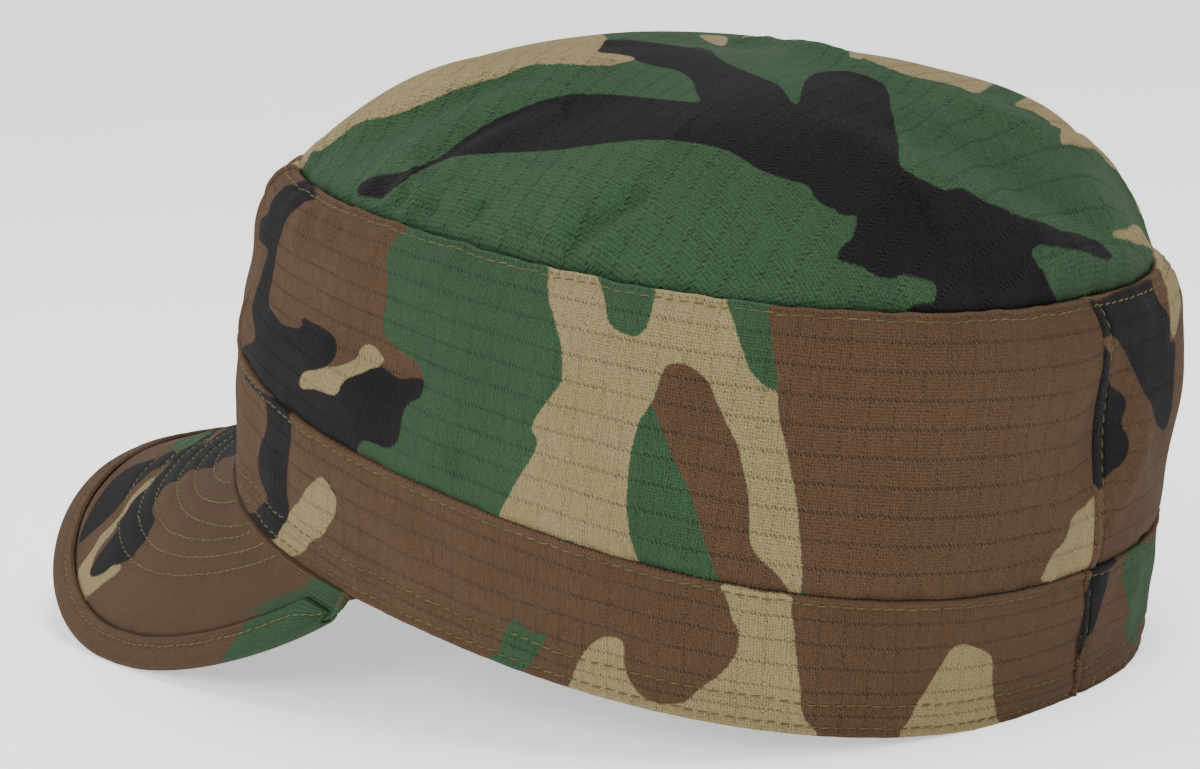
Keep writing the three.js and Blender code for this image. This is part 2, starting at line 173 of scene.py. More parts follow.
print("rim 0 and 90 degrees:", level_point(RIM, np.array([0, 90])).round(1).tolist())

# %% [markdown]
# ## The visor, and how the cap rests
#
# The visor is ruled from the rim to its outer edge. On a table the cap tips back until the
# back of its rim and the low sides of its visor touch, so the same search as in the CAD finds
# that pitch here. The floor then bends the visor's edge up by a hair.

# %% Visor edge and resting pitch
def visor_root(edge):
    return level_point(RIM, edge / 90 * VISOR_END)


def free_visor_tip(edge):
    end = level_point(RIM, np.array(VISOR_END))
    ahead, aside = np.maximum(np.cos(np.radians(edge)), 0), np.sin(np.radians(edge))
    reach = RIM["length"] / 2 + VISOR_LENGTH + end[1] - RIM["back"]
    drop = VISOR_DROOP * ahead ** VISOR_DROOP_POWER * (1 + VISOR_SIDE_DROOP * aside ** 2)
    x = (end[0] + JOINT) * bend(aside, VISOR_SQUARE)
    y = end[1] - reach * bend(ahead, VISOR_SQUARE)
    return np.stack([x, y, end[2] - drop], -1)


def tipped(points, pitch):
    x, y, z = np.moveaxis(points, -1, 0)
    return np.stack([x, y * np.cos(pitch) + z * np.sin(pitch),
                     z * np.cos(pitch) - y * np.sin(pitch)], -1)


def resting_pitch():
    rear = level_point(RIM, np.linspace(90, 270, 61))
    edge = free_visor_tip(np.linspace(-80, 80, 81))
    edge[:, 2] -= VISOR_DEPTH + EDGE_HALF
    low, high = 0, math.radians(30)
    for _ in range(40):
        pitch = (low + high) / 2
        if tipped(rear, pitch)[:, 2].min() > tipped(edge, pitch)[:, 2].min():
            low = pitch
        else:
            high = pitch
    return low, tipped(rear, low)[:, 2].min() + SETTLE


PITCH, FLOOR = resting_pitch()


def visor_tip(edge):
    tip = free_visor_tip(edge)
    height = tipped(tip, PITCH)[..., 2] - VISOR_DEPTH - EDGE_HALF - FLOOR + SETTLE
    lift = np.maximum(0, -height)
    return tip + tipped(np.stack([0 * lift, 0 * lift, lift], -1), -PITCH)


def visor_point(edge, reach):
    point = mix(visor_root(edge), visor_tip(edge), reach[..., None])
    point[..., 2] -= VISOR_DEPTH
    return point


print("pitch", round(math.degrees(PITCH), 2), "degrees, floor at", round(FLOOR, 2), "mm")

# %% [markdown]
# ## From the cap's own frame to the table
#
# We draw with the rim level and then tip every point back. The CAD model's origin is the
# middle of its footprint, so the band's packed box tells us how far to slide along Y.

# %% Rest on the table
def rear_of_band():
    degrees = np.linspace(120, 240, 121)
    rise = np.linspace(0, 1, 21)[:, None] + 0 * degrees
    return max(tipped(points, PITCH)[..., 1].max()
               for points in (level_point(RIM, degrees), band_point(degrees, rise)))


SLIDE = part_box("band")[1].y / MM - rear_of_band()


def on_table(points, rigid=False):
    world = tipped(np.asarray(points, float), PITCH)
    world[..., 1] += SLIDE
    world[..., 2] -= FLOOR
    if not rigid:
        world[..., 2] = np.maximum(world[..., 2], 0)
    return world


print("the cap slides", round(SLIDE, 2), "mm along Y")

# %% [markdown]
# ## The camera
#
# The photograph looks at the cap's left and back from a little above. The camera is set
# first, because the print is charted through it. Its angles are in the cap's own frame, so
# they tip with the cap. The picture is 1200 x 769, and it is a cutting of a larger frame, so
# the lens is shifted a little.

# %% Camera
PICTURE, SENSOR = (1200, 769), 36
CAMERA_TURN, CAMERA_RISE, CAMERA_ROLL = 36.13, 15.78, 8.23
CAMERA_AIM = np.array([0, 0, 48.75])
CAMERA_DISTANCE = 624.0
FOCAL = 2925.72
OFFSET = (108.95, -56.6)

_turn, _rise, _roll = np.radians([90 + CAMERA_TURN, CAMERA_RISE, CAMERA_ROLL])
BACK = np.array([np.sin(_turn) * np.cos(_rise), -np.cos(_turn) * np.cos(_rise), np.sin(_rise)])
_side = unit(np.cross(-BACK, [0, 0, 1]))
_up = np.cross(_side, -BACK)
SIDE = np.cos(_roll) * _side + np.sin(_roll) * _up
UP = -np.sin(_roll) * _side + np.cos(_roll) * _up
EYE = CAMERA_AIM + BACK * CAMERA_DISTANCE


def in_picture(points):
    """Pixels of the 1200 x 769 picture for points in the cap's frame."""
    d = points - EYE
    depth = -d @ BACK
    x = PICTURE[0] / 2 + OFFSET[0] + FOCAL * (d @ SIDE) / depth
    y = PICTURE[1] / 2 + OFFSET[1] - FOCAL * (d @ UP) / depth
    return np.stack([x, y], -1)


def turned(v):
    return Vector(tipped(np.asarray(v, float), PITCH))


def add_object(name, data):
    made = bpy.data.objects.new(name, data)
    bpy.context.collection.objects.link(made)
    return made


lens = bpy.data.cameras.new("camera")
lens.sensor_width = SENSOR
lens.lens = FOCAL / PICTURE[0] * SENSOR
lens.shift_x = -OFFSET[0] / PICTURE[0]
lens.shift_y = OFFSET[1] / PICTURE[0]
camera = add_object("camera", lens)
axes = Matrix((turned(SIDE), turned(UP), turned(BACK))).transposed().to_4x4()
camera.matrix_world = Matrix.Translation(Vector(on_table(EYE, rigid=True) * MM)) @ axes
lens.clip_start, lens.clip_end = 0.01, 20
bpy.context.scene.camera = camera
print("camera at", [round(v, 3) for v in camera.matrix_world.translation], "lens", round(lens.lens, 1))

# %% [markdown]
# ## A grid of cloth
#
# Each piece is a grid of points over its outside. Rows run along its lower edge and columns
# from seam to seam. They stand close together at the edges and stitch rows, where the relief
# is small, and further apart on the open cloth. The grid also keeps each point's place on
# the flat cloth in millimetres: chart is for the print, and place is for the weave.

# %% Grid helpers
def spaced(length, step, fine_at=(), fine=0.35, reach=2.2):
    """Places from 0 to length, a fine step apart near each of the places in fine_at."""
    places = [0.0]
    while places[-1] < length:
        near = min((abs(places[-1] + fine - p) for p in fine_at), default=1e9)
        wide = min(step, fine + 0.5 * (near - reach))
        places.append(places[-1] + (fine if near < reach else wide))
    places = np.array(places)
    return places * (length / places[-1])


def travelled(points):
    """Length along a row of points, from its first point."""
    return np.concatenate([[0], np.cumsum(np.linalg.norm(np.diff(points, axis=0), axis=1))])


UPWARD = np.array([0, 0, 1.0])


def normals_of(grid, outside):
    across, along = np.gradient(grid, axis=1), np.gradient(grid, axis=0)
    normal = unit(np.cross(across, along))
    return normal * np.where((normal * outside).sum(-1, keepdims=True) < 0, -1, 1)


def in_parts(places, size=4000):
    """A long list a part at a time, so that tables of distances stay small."""
    for start in range(0, len(places), size):
        yield places[start:start + size]


def waves(at, lengths, seed):
    """Smooth irregular waves of about the given lengths, from -1 to 1."""
    draw = np.random.default_rng(seed)
    total = sum(np.sin(2 * np.pi * at / n + draw.uniform(0, 6.28)) for n in lengths)
    return total / len(lengths)


def crumple(x, y, size, seed, count=9):
    """Soft irregular hills over the cloth, from about -1 to 1."""
    draw = np.random.default_rng(seed)
    total = 0
    for _ in range(count):
        turn, length = draw.uniform(0, np.pi), size * draw.uniform(0.7, 1.5)
        way = x * np.cos(turn) + y * np.sin(turn)
        total = total + np.sin(2 * np.pi * way / length + draw.uniform(0, 6.28))
    return total / math.sqrt(count)


def bump(at, middle, width):
    return np.exp(-((at - middle) / width) ** 2)


def rounded(distance, radius):
    """How far an edge of this radius has fallen back at a distance from it."""
    inside = np.clip(radius - distance, 0, radius)
    return radius - np.sqrt(np.maximum(radius ** 2 - inside ** 2, 0))


class Cloth:
    """A grid of outside points, in the cap's frame, and its places on the flat cloth."""

    def __init__(self, name, grid, normal, u, v):
        self.name, self.grid, self.normal, self.u, self.v = name, grid, normal, u, v
        self.chart = self.place = np.stack([u, v], -1)
        self.from_edge = np.minimum(v, v.max() - v)
        # How much lighter the folded edges are: partly wear, partly a painted highlight.
        self.edge_wear_and_highlight = np.zeros(u.shape)
        self.print = {}

    def raise_by(self, relief):
        """Move the outside along its normals and measure the normals again."""
        self.grid = self.grid + self.normal * relief[..., None]
        self.inner = self.inner + self.normal * relief[..., None]
        self.normal = normals_of(self.grid, self.normal)

    def at(self, row, column):
        """Points and normals at fractional rows and columns."""
        rows, columns = self.u.shape
        r = np.clip(row, 0, rows - 1.001).astype(int)
        c = np.clip(column, 0, columns - 1.001).astype(int)
        fr, fc = (row - r)[..., None], (column - c)[..., None]

        def blend(a):
            return mix(mix(a[r, c], a[r, c + 1], fc), mix(a[r + 1, c], a[r + 1, c + 1], fc), fr)

        return blend(self.grid), unit(blend(self.normal))


print("places of a 10 mm strip:", spaced(10, 1.2, [0]).round(1).tolist())

# %% [markdown]
# ## Band
#
# The band is a double strip with its top edge folded over and sewn onto the crown's wall, so
# that edge stands a little proud. It is the piece that carries the rest, so it comes first.
# Rows of stitches run along both edges, and each draws a shallow furrow with tiny puckers.

# %% Band
STEP = 1.15
# Rows of stitches: two above the rim, and one below the upper edge.
BAND_ROWS, BAND_TOP_ROW = (2.2, 7.2), 1.6
# A lapped edge: width, rise, place of its row of stitches, and how far it passes the seam.
LAP, LAP_RISE, LAP_ROW, OVERHANG = 1.8, 0.45, 2.7, 0.6
# How far in a rounded edge of the cloth starts, in millimetres.
EDGE_ROUND = 0.9
# Low ridges above the rim: place, width and height. The last one is the folded upper edge.
BAND_RIDGES = [(0, 1.4, 0.25), (4.7, 1.5, 0.2)]
BAND_EDGE_WIDTH, BAND_EDGE_RISE = 1.7, 0.5
BAND_CRUMPLE, BAND_CRUMPLE_SIZE = 0.35, 17


def furrow(distance, depth=0.32, width=0.62):
    return -depth * bump(distance, 0, width)


def puckers(u, distance, seed, depth=0.22, reach=3.2, lengths=(4.1, 6.3, 9.7, 15.2)):
    """Small gathers that a line of stitches pulls into the cloth beside it."""
    return depth * waves(u, lengths, seed) * np.exp(-abs(distance) / reach)


def lap(from_edge):
    """A folded edge that lies on its neighbour, with the row of stitches that holds it."""
    fold = LAP_RISE * np.clip((LAP - from_edge) / 0.5 + 0.5, 0, 1)
    return fold + furrow(from_edge - LAP_ROW, 0.4) - 0.15 * bump(from_edge, LAP + 0.5, 0.5)


def ring_columns(from_deg, to_deg, level, step, fine_at=()):
    """Angles from one seam to the next, evenly apart along the cloth."""
    dense = np.linspace(from_deg, to_deg, 4001)
    length = travelled(level_point(level, dense))
    places = spaced(length[-1], step, fine_at)
    return np.interp(places, length, dense), places


def make_band():
    degrees, u = ring_columns(BACK_SEAM - 360, BACK_SEAM, BAND_TOP, STEP, [0, LAP_ROW])
    height = BAND_TOP["height"] - 0.2
    v = spaced(height, STEP, [0, *BAND_ROWS, height - BAND_TOP_ROW, height], fine=0.3, reach=1.2)
    u, v = np.meshgrid(u, v)
    rise = v / height
    degrees = np.broadcast_to(degrees, u.shape)
    base = band_point(degrees, rise)
    normal = normals_of(base, outward(BAND_TOP, degrees))
    relief = sum(furrow(v - row) + puckers(u, v - row, 3 + i) for i, row in enumerate(BAND_ROWS))
    top_row = height - BAND_TOP_ROW
    relief += furrow(v - top_row) + puckers(u, v - top_row, 9, depth=0.3)
    relief += BAND_EDGE_RISE * bump(v, height, BAND_EDGE_WIDTH)
    relief += sum(tall * bump(v, place, width) for place, width, tall in BAND_RIDGES)
    open_cloth = np.clip((height - v) / 8, 0, 1) * np.clip(v / 8, 0, 1)
    relief += BAND_CRUMPLE * crumple(u, v, BAND_CRUMPLE_SIZE, 21) * open_cloth
    relief += lap(u) - rounded(v, EDGE_ROUND) - rounded(height - v, EDGE_ROUND)
    grid = base + normal * relief[..., None]
    cloth = Cloth("band", grid, normals_of(grid, normal), u, v)
    # The folded upper edge and the edge at the rim are lighter: partly wear, partly a painted highlight
    # where the raised edges catch the light.
    cloth.edge_wear_and_highlight = 0.7 * bump(v, height, 0.7) + 0.5 * bump(v, 0, 0.6)
    inside = BAND_CLOTH - rounded(v, 0.8) - rounded(height - v, 0.8)
    cloth.inner = base - normal * inside[..., None]
    return cloth


band = make_band()
print("band:", band.u.shape, "points, length", round(band.u.max(), 1), "mm")

# %% [markdown]
# ## Crown walls
#
# Three panels make the wall: one in front and one on each side, joined at two seams beside
# the front and one in the middle of the back. Soft cloth with no stiffener bulges between
# its seams and gathers below the top seam, where a longer edge is eased into a shorter one.

# %% Crown walls
# Length of the cloth from seam to seam, and the row of stitches below its upper edge.
WALL_HEIGHT, TOP_ROW = 47.0, 1.2
# The back seam leans a little: share of the wall's height, degrees.
BACK_LEAN = [(0, 1.2), (0.4, 0.8), (0.75, -0.5), (1, -2.3)]
LEAN_REACH = 14
# The front panel's upper edge is sunk behind its neighbours': depth, place and width.
FRONT_SINK, SINK_PLACE, SINK_WIDTH = 1.8, 2, 10
# Soft hills all over, and how far from a seam they and the gathers start.
WALL_CRUMPLE, WALL_CRUMPLE_SIZE, SEAM_CALM = 0.55, 26, 7
# Gathers below the top seam: depth, reach and lengths of their waves.
GATHER, GATHER_REACH, GATHER_LENGTHS = 0.5, 7, (7, 11, 17, 29)


def make_wall(name, from_deg, to_deg, seed):
    degrees, u = ring_columns(from_deg, to_deg, BAND_TOP, STEP)
    mirrored = spaced(u[-1], STEP, [0, LAP_ROW, u[-1] - LAP_ROW, u[-1]])
    degrees, u = np.interp(mirrored, u, degrees), mirrored
    length = u[-1]
    places = [0, WALL_HEIGHT - TOP_ROW, WALL_HEIGHT]
    u, v = np.meshgrid(u, spaced(WALL_HEIGHT, STEP, places, fine=0.3, reach=1.2))
    rise, top = v / WALL_HEIGHT, WALL_HEIGHT - v
    laps_first, laps_last = name != "crown_front", name == "crown_right"
    degrees = degrees + smooth_table(BACK_LEAN, rise) * bump(degrees, BACK_SEAM, LEAN_REACH)
    degrees = degrees - OVERHANG * np.clip(1 - u / LAP, 0, 1) * laps_first
    degrees = degrees + OVERHANG * np.clip(1 - (length - u) / LAP, 0, 1) * laps_last
    base = wall_point(degrees, rise)
    normal = normals_of(base, outward(BAND_TOP, degrees))
    if name == "crown_front":
        base = base - normal * (FRONT_SINK * bump(top, SINK_PLACE, SINK_WIDTH))[..., None]
    gathers = puckers(u, top - TOP_ROW, seed, GATHER, GATHER_REACH, GATHER_LENGTHS)
    relief = furrow(top - TOP_ROW, 0.45, 0.7) + gathers
    relief += 0.3 * bump(top, 5, 3) + puckers(u, v, seed + 5, 0.35, 6, (9, 13, 23))
    hills = WALL_CRUMPLE * crumple(u, v, WALL_CRUMPLE_SIZE, seed + 1)
    relief += hills * np.clip(top / 10, 0, 1) * np.clip(v / 6, 0, 1)
    side = np.minimum(u, length - u)
    relief *= np.clip(side / SEAM_CALM, 0, 1)
    relief += 0.55 * bump(top, 0.4, 1.4) - 0.7 * bump(v, 0, 1.5)
    relief += lap(u) * laps_first + lap(length - u) * laps_last
    relief -= rounded(top, EDGE_ROUND) + rounded(side, 0.5)
    grid = base + normal * relief[..., None]
    cloth = Cloth(name, grid, normals_of(grid, normal), u, v)
    # The lip at the upper edge and the lapped fold are lighter: partly wear, partly a painted highlight
    # on the raised folds.
    cloth.edge_wear_and_highlight = 0.7 * bump(top, 0.3, 0.6) + 0.5 * bump(u, LAP / 2, 0.8) * laps_first
    length_up = travelled(base[:, base.shape[1] // 2])
    cloth.place = np.stack([u, np.broadcast_to(length_up[:, None], u.shape)], -1)
    inside = WALL_CLOTH - rounded(top, 0.6) - rounded(side, 0.5)
    cloth.inner = base - normal * inside[..., None]
    return cloth


left = make_wall("crown_left", FRONT_SEAM + 0.1, BACK_SEAM - 0.1, 31)
right = make_wall("crown_right", BACK_SEAM + 0.1, 360 - FRONT_SEAM - 0.1, 47)
front = make_wall("crown_front", -FRONT_SEAM + 0.1, FRONT_SEAM - 0.1, 53)
print("walls:", left.u.shape, right.u.shape, front.u.shape)

# %% [markdown]
# ## Crown top
#
# The top is one oval piece that domes up behind its middle. Its edge is pinched under the
# side panels' folded edge, and creases run inwards from there.

# %% Crown top
# Rings of points from the seam to the middle, closer together at the seam.
TOP_RINGS, RING_POWER, LAST_RING = 78, 1.25, 0.985
# Folds of the top die out this many times further from its edge than those of the walls.
RIM_CALM = 1.6


def closed(grid):
    """A ring of columns with the last one put before it and the first one after it."""
    return np.concatenate([grid[:, -1:], grid, grid[:, :1]], 1)


def make_top():
    degrees, _ = ring_columns(BACK_SEAM - 360, BACK_SEAM, TOP_SEAM, STEP)
    degrees = degrees[:-1]
    radial = np.linspace(0, 1, TOP_RINGS) ** RING_POWER * LAST_RING
    inset = np.broadcast_to(radial[:, None], (len(radial), len(degrees)))
    degrees = np.broadcast_to(degrees, inset.shape)
    base = top_point(degrees, inset)
    x, y = base[..., 0], base[..., 1]
    normal = normals_of(closed(base), UPWARD)[:, 1:-1]
    rim = np.linalg.norm(base - base[:1], axis=-1)
    whole = np.linspace(-180, 180, 721)
    along = np.interp(degrees, whole, travelled(level_point(TOP_SEAM, whole)))
    relief = puckers(along, rim, 61, 0.55, 9, (8, 12, 19, 31)) - 0.9 * bump(rim, 0, 1.2)
    relief += 0.7 * crumple(x, y, 34, 62) * np.clip(rim / 12, 0, 1)
    grid = base + normal * relief[..., None]
    cloth = Cloth("crown_top", grid, normals_of(closed(grid), UPWARD)[:, 1:-1], x, y)
    cloth.from_edge = rim / RIM_CALM
    cloth.inner = base - normal * TOP_CLOTH
    return cloth


top = make_top()
print("top:", top.u.shape, "height", round(top.grid[..., 2].max(), 1), "mm")

# %% [markdown]
# ## Visor and its binding
#
# A visor is a stiff board between two cloths. Rows of stitches run through it side by side,
# following its edge, and a folded strip is bound round that edge. The rows are grooves in the
# board, so they are part of the grid's relief and the threads are laid in them later.

# %% Visor
# Each row of stitches: share of the visor's reach in the middle, end in degrees, squareness.
VISOR_ROWS = [(0.68, 76, 4.3), (0.575, 71.5, 4.2), (0.495, 67, 3.9), (0.415, 65, 2.9),
              (0.31, 56, 3.6), (0.235, 49, 3.1)]
VISOR_STEPS = 55
# The upper cloth stops this far before the binding, and the thinner edge starts this far under it.
BINDING_GAP, BINDING_HOLD = 0.6, 0.2
# The root is lifted to close the seam with the band: lift, extra lift on a slope, and reach.
ROOT_LIFT, ROOT_SLOPE_LIFT, ROOT_REACH = 0.7, 1.3, 3


def visor_columns(least_reach, step):
    edges = np.linspace(-90, 90, 4001)
    reach = np.linalg.norm(visor_tip(edges) - visor_root(edges), axis=-1)
    edges = edges[reach > least_reach]
    length = travelled(visor_tip(edges))
    places = np.linspace(0, length[-1], int(length[-1] / step) + 1)
    return np.interp(places, length, edges), places


def visor_frame(edge, reach):
    """The visor's middle surface and its normal."""
    point = visor_point(edge, reach)
    high = np.minimum(reach + 0.02, 1)
    low = np.maximum(reach - 0.02, 0)
    up = visor_point(edge, high) - visor_point(edge, low)
    round_ = visor_point(edge + 0.3, reach) - visor_point(edge - 0.3, reach)
    normal = unit(np.cross(round_, up))
    normal *= np.where(normal[..., 2:] < 0, -1, 1)
    return point, normal, unit(up)


def binding_reach(edge):
    to_tip = visor_tip(edge) - visor_root(edge)
    along = unit(visor_tip(edge + 2) - visor_tip(edge - 2))
    square = np.linalg.norm(np.cross(to_tip, along), axis=-1)
    length = np.linalg.norm(to_tip, axis=-1)
    return np.maximum(BINDING_START / length, 1 - BINDING_WIDTH / square), length


def visor_row(share, end, square):
    """Edge angles and reaches along one row of stitches."""
    edge = np.linspace(-end + 0.4, end - 0.4, 400)
    return edge, share * (1 - abs(edge / end) ** square)


def nearest(points, path):
    """Distance in plan from each point to a path of points."""
    flat = points[..., :2].reshape(-1, 2)
    parts = [np.linalg.norm(part[:, None] - path[None, :, :2], axis=-1).min(1)
             for part in in_parts(flat)]
    return np.concatenate(parts).reshape(points.shape[:-1])


def make_visor():
    edge, along = visor_columns(VISOR_END_REACH, STEP)
    cut, length = binding_reach(edge)
    end = np.maximum(cut - BINDING_GAP / length, 0.02)
    reach = np.linspace(0, 1, VISOR_STEPS + 1)[:, None] * end
    edges = np.broadcast_to(edge, reach.shape)
    point, normal, _ = visor_frame(edges, reach)
    relief = 0.22 * crumple(point[..., 0], point[..., 1], 30, 71)
    for row in VISOR_ROWS:
        relief += furrow(nearest(point, visor_point(*visor_row(*row))), 0.5, 0.95)
    middle = VISOR_THICKNESS / 2
    grid = point + normal * (middle + relief)[..., None]
    lift = ROOT_LIFT + ROOT_SLOPE_LIFT * (1 - normal[..., 2])
    grid[..., 2] += lift * np.exp(-reach * length / ROOT_REACH)
    under = point - normal * middle
    tongue = outward(RIM, edge / 90 * VISOR_END) * -(BAND_CLOTH - JOINT)
    grid = np.concatenate([(grid[0] + tongue)[None], grid])
    under = np.concatenate([(under[0] + tongue)[None], under])
    thin_reach = np.stack([cut + BINDING_HOLD / length, np.ones_like(cut)])
    point, normal_thin, _ = visor_frame(np.broadcast_to(edge, thin_reach.shape), thin_reach)
    grid = np.concatenate([grid, point + normal_thin * VISOR_EDGE_THICKNESS / 2])
    under = np.concatenate([under, point - normal_thin * VISOR_EDGE_THICKNESS / 2])
    cloth = Cloth("visor", grid, normals_of(grid, UPWARD), grid[..., 0], grid[..., 1])
    cloth.inner, cloth.edge, cloth.end = under, edge, end
    up = np.concatenate([np.full((1, len(edge)), -BAND_CLOTH), reach * length, thin_reach * length])
    cloth.place = np.stack([np.broadcast_to(along, up.shape), up], -1)
    return cloth


visor = make_visor()
print("visor:", visor.u.shape)

# %% [markdown]
# The binding is one strip folded over the edge in the shape of a U. Its rows run from its
# upper raw side, round the edge, to its lower side, each with the fold's own round nose.

# %% Binding
# The row of stitches from the raw side, and the strip's steps on the flat and round its nose.
BINDING_ROW, BINDING_STEP, NOSE_STEP = 2.2, 0.9, 0.8
# The raw side is cut back by this much.
RAW_SIDE = 0.5


def make_binding():
    edge, along = visor_columns(BINDING_END_REACH, STEP)
    start, length = binding_reach(edge)
    start = start + RAW_SIDE / length
    across = spaced(BINDING_WIDTH - RAW_SIDE, BINDING_STEP, [0, BINDING_ROW], fine=0.25, reach=1.0)
    share = across / across[-1]
    upper = start + (1 - start) * share[:, None]
    nose = np.radians([60, 30, 0, -30, -60])
    outer, inner, v = [], [], []

    def strip(reach, angle, seam):
        point, normal, up = visor_frame(edge, reach)
        lift = normal * math.sin(angle) + up * math.cos(angle) * (abs(math.cos(angle)) > 1e-6)
        relief = np.zeros(len(edge))
        if seam is not None:
            relief = furrow(seam - BINDING_ROW, 0.3, 0.6) - rounded(np.array(seam), 0.6)
            relief = relief + puckers(along, seam - BINDING_ROW, 83, 0.16, 2.5)
            relief = relief + 0.12 * waves(along, (19, 31), 84)
        outer.append(point + lift * (EDGE_HALF + relief)[:, None])
        inner.append(point + lift * (EDGE_HALF - BINDING_CLOTH))

    for distance, reach in zip(across, upper):
        strip(reach, math.pi / 2, distance)
        v.append(distance)
    for angle in nose:
        strip(np.ones_like(edge), angle, None)
        v.append(v[-1] + NOSE_STEP)
    for distance, reach in zip(across[::-1], upper[::-1]):
        strip(reach, -math.pi / 2, distance)
        v.append(v[-1] + BINDING_STEP)
    grid = np.stack(outer)
    u = np.broadcast_to(along, grid.shape[:2])
    v = np.broadcast_to(np.array(v)[:, None], u.shape)
    middle, _, _ = visor_frame(edge, (1 + start) / 2)
    cloth = Cloth("visor_binding", grid, normals_of(grid, grid - middle), u, v)
    cloth.inner = np.stack(inner)
    return cloth


binding = make_binding()
print("binding:", binding.u.shape)

# %% [markdown]
# ## Folds that the picture shows
#
# Cloth sculpting tools could push these folds in by hand. We draw each one as a stroke
# instead: points read in the picture, a width and a height in millimetres, below zero for a
# valley. The stroke is carried through the camera onto the cloth and fades at both ends.

# %% Strokes
EDGE_CALM, TOP_GAIN = 3, 1.5


def locate(cloth, dots):
    """Chart places of picture points on the side of a cloth that faces the camera."""
    dots = np.array(dots, float)
    seen = in_picture(cloth.grid)
    facing = ((EYE - cloth.grid) * cloth.normal).sum(-1) > 0
    rows, columns = np.nonzero(facing)
    near = seen[rows, columns]
    pick = np.array([((near - dot) ** 2).sum(-1).argmin() for dot in dots])
    r, c = rows[pick], columns[pick]
    down = np.gradient(seen, axis=0)[r, c]
    over = np.gradient(seen, axis=1)[r, c]
    miss = dots - seen[r, c]
    det = over[:, 0] * down[:, 1] - over[:, 1] * down[:, 0]
    det = np.where(abs(det) < 1e-6, 1e-6, det)
    dc = np.clip((miss[:, 0] * down[:, 1] - miss[:, 1] * down[:, 0]) / det, -1, 1)
    dr = np.clip((over[:, 0] * miss[:, 1] - over[:, 1] * miss[:, 0]) / det, -1, 1)
    chart = cloth.chart
    return (chart[r, c] + np.gradient(chart, axis=1)[r, c] * dc[:, None]
            + np.gradient(chart, axis=0)[r, c] * dr[:, None])


def stroke(cloth, path, width, height):
    """The relief of one fold along a path of chart places."""
    length = travelled(path)
    fine = np.linspace(0, length[-1], max(8, int(length[-1] / 1.5)))
    fine = np.stack([np.interp(fine, length, path[:, 0]), np.interp(fine, length, path[:, 1])], -1)
    share = np.linspace(0, 1, len(fine))
    fade = np.sqrt(np.clip(np.sin(np.pi * share), 0, 1)) * 0.85 + 0.15
    flat = cloth.chart.reshape(-1, 2)
    relief = np.zeros(len(flat))
    low, high = fine.min(0) - 3 * width, fine.max(0) + 3 * width
    near = np.nonzero(((flat > low) & (flat < high)).all(-1))[0]
    for part in in_parts(near):
        away = np.linalg.norm(flat[part][:, None] - fine[None], axis=-1)
        pick = away.argmin(1)
        relief[part] = height * fade[pick] * np.exp(-(away.min(1) / width) ** 2)
    return relief.reshape(cloth.u.shape)


def fold_seen(cloth, rows, gain=1.0):
    """Raise all the folds read on one cloth, which die out within EDGE_CALM of its edge."""
    relief = sum(stroke(cloth, locate(cloth, dots), width, gain * height)
                 for dots, width, height in rows)
    cloth.raise_by(relief * np.clip(cloth.from_edge / EDGE_CALM, 0, 1))


TOP_STROKES = [
    ([(308, 177), (323, 150), (347, 133), (380, 122), (413, 110), (447, 98), (480, 87), (513, 78),
      (547, 72), (613, 67)], 3.2, 2.3),
    ([(413, 162), (453, 137), (487, 117), (527, 103), (570, 97)], 5.0, -2.2),
    ([(440, 160), (480, 137), (520, 117), (570, 108)], 4.0, 0.8),
    ([(383, 211), (403, 187), (423, 173)], 2.2, 1.0), ([(393, 208), (413, 187)], 2.0, -0.9),
    ([(360, 207), (382, 192)], 2.4, -0.9), ([(407, 217), (430, 177)], 2.2, 0.8),
    ([(423, 221), (436, 200)], 2.0, -0.7), ([(473, 226), (482, 198)], 3.2, -1.1),
    ([(563, 251), (580, 237), (600, 223), (627, 203), (650, 186)], 2.0, -2.0),
    ([(575, 256), (600, 238), (628, 215)], 3.4, 0.8), ([(540, 247), (562, 226), (590, 205)], 4.5, 0.7),
    ([(520, 246), (545, 228)], 2.6, -0.6),
    ([(727, 43), (767, 43), (810, 53), (847, 65), (887, 83), (913, 93), (953, 108), (987, 120),
      (1033, 135), (1067, 145), (1093, 157), (1113, 173), (1130, 193), (1140, 220)], 3.0, 2.0),
    ([(900, 112), (940, 130), (983, 150), (1033, 180), (1077, 207), (1113, 233)], 6.0, -2.1),
    ([(1047, 193), (1077, 210), (1113, 237), (1147, 260)], 2.0, -0.9),
    ([(810, 127), (850, 143), (887, 163), (917, 180), (947, 197), (983, 217), (1020, 233),
      (1053, 247), (1100, 258), (1147, 263)], 5.5, 2.4),
    ([(917, 312), (953, 307), (983, 293), (1020, 275), (1037, 267)], 5.0, -1.3),
    ([(872, 262), (900, 233), (925, 205)], 6.0, -1.6), ([(1080, 297), (1117, 280)], 3.0, -0.9),
    ([(660, 150), (740, 190), (800, 230)], 9.0, -0.8), ([(700, 287), (757, 292), (800, 292)], 3.5, -0.9),
    ([(640, 262), (690, 235), (730, 200)], 6.0, 0.5)]
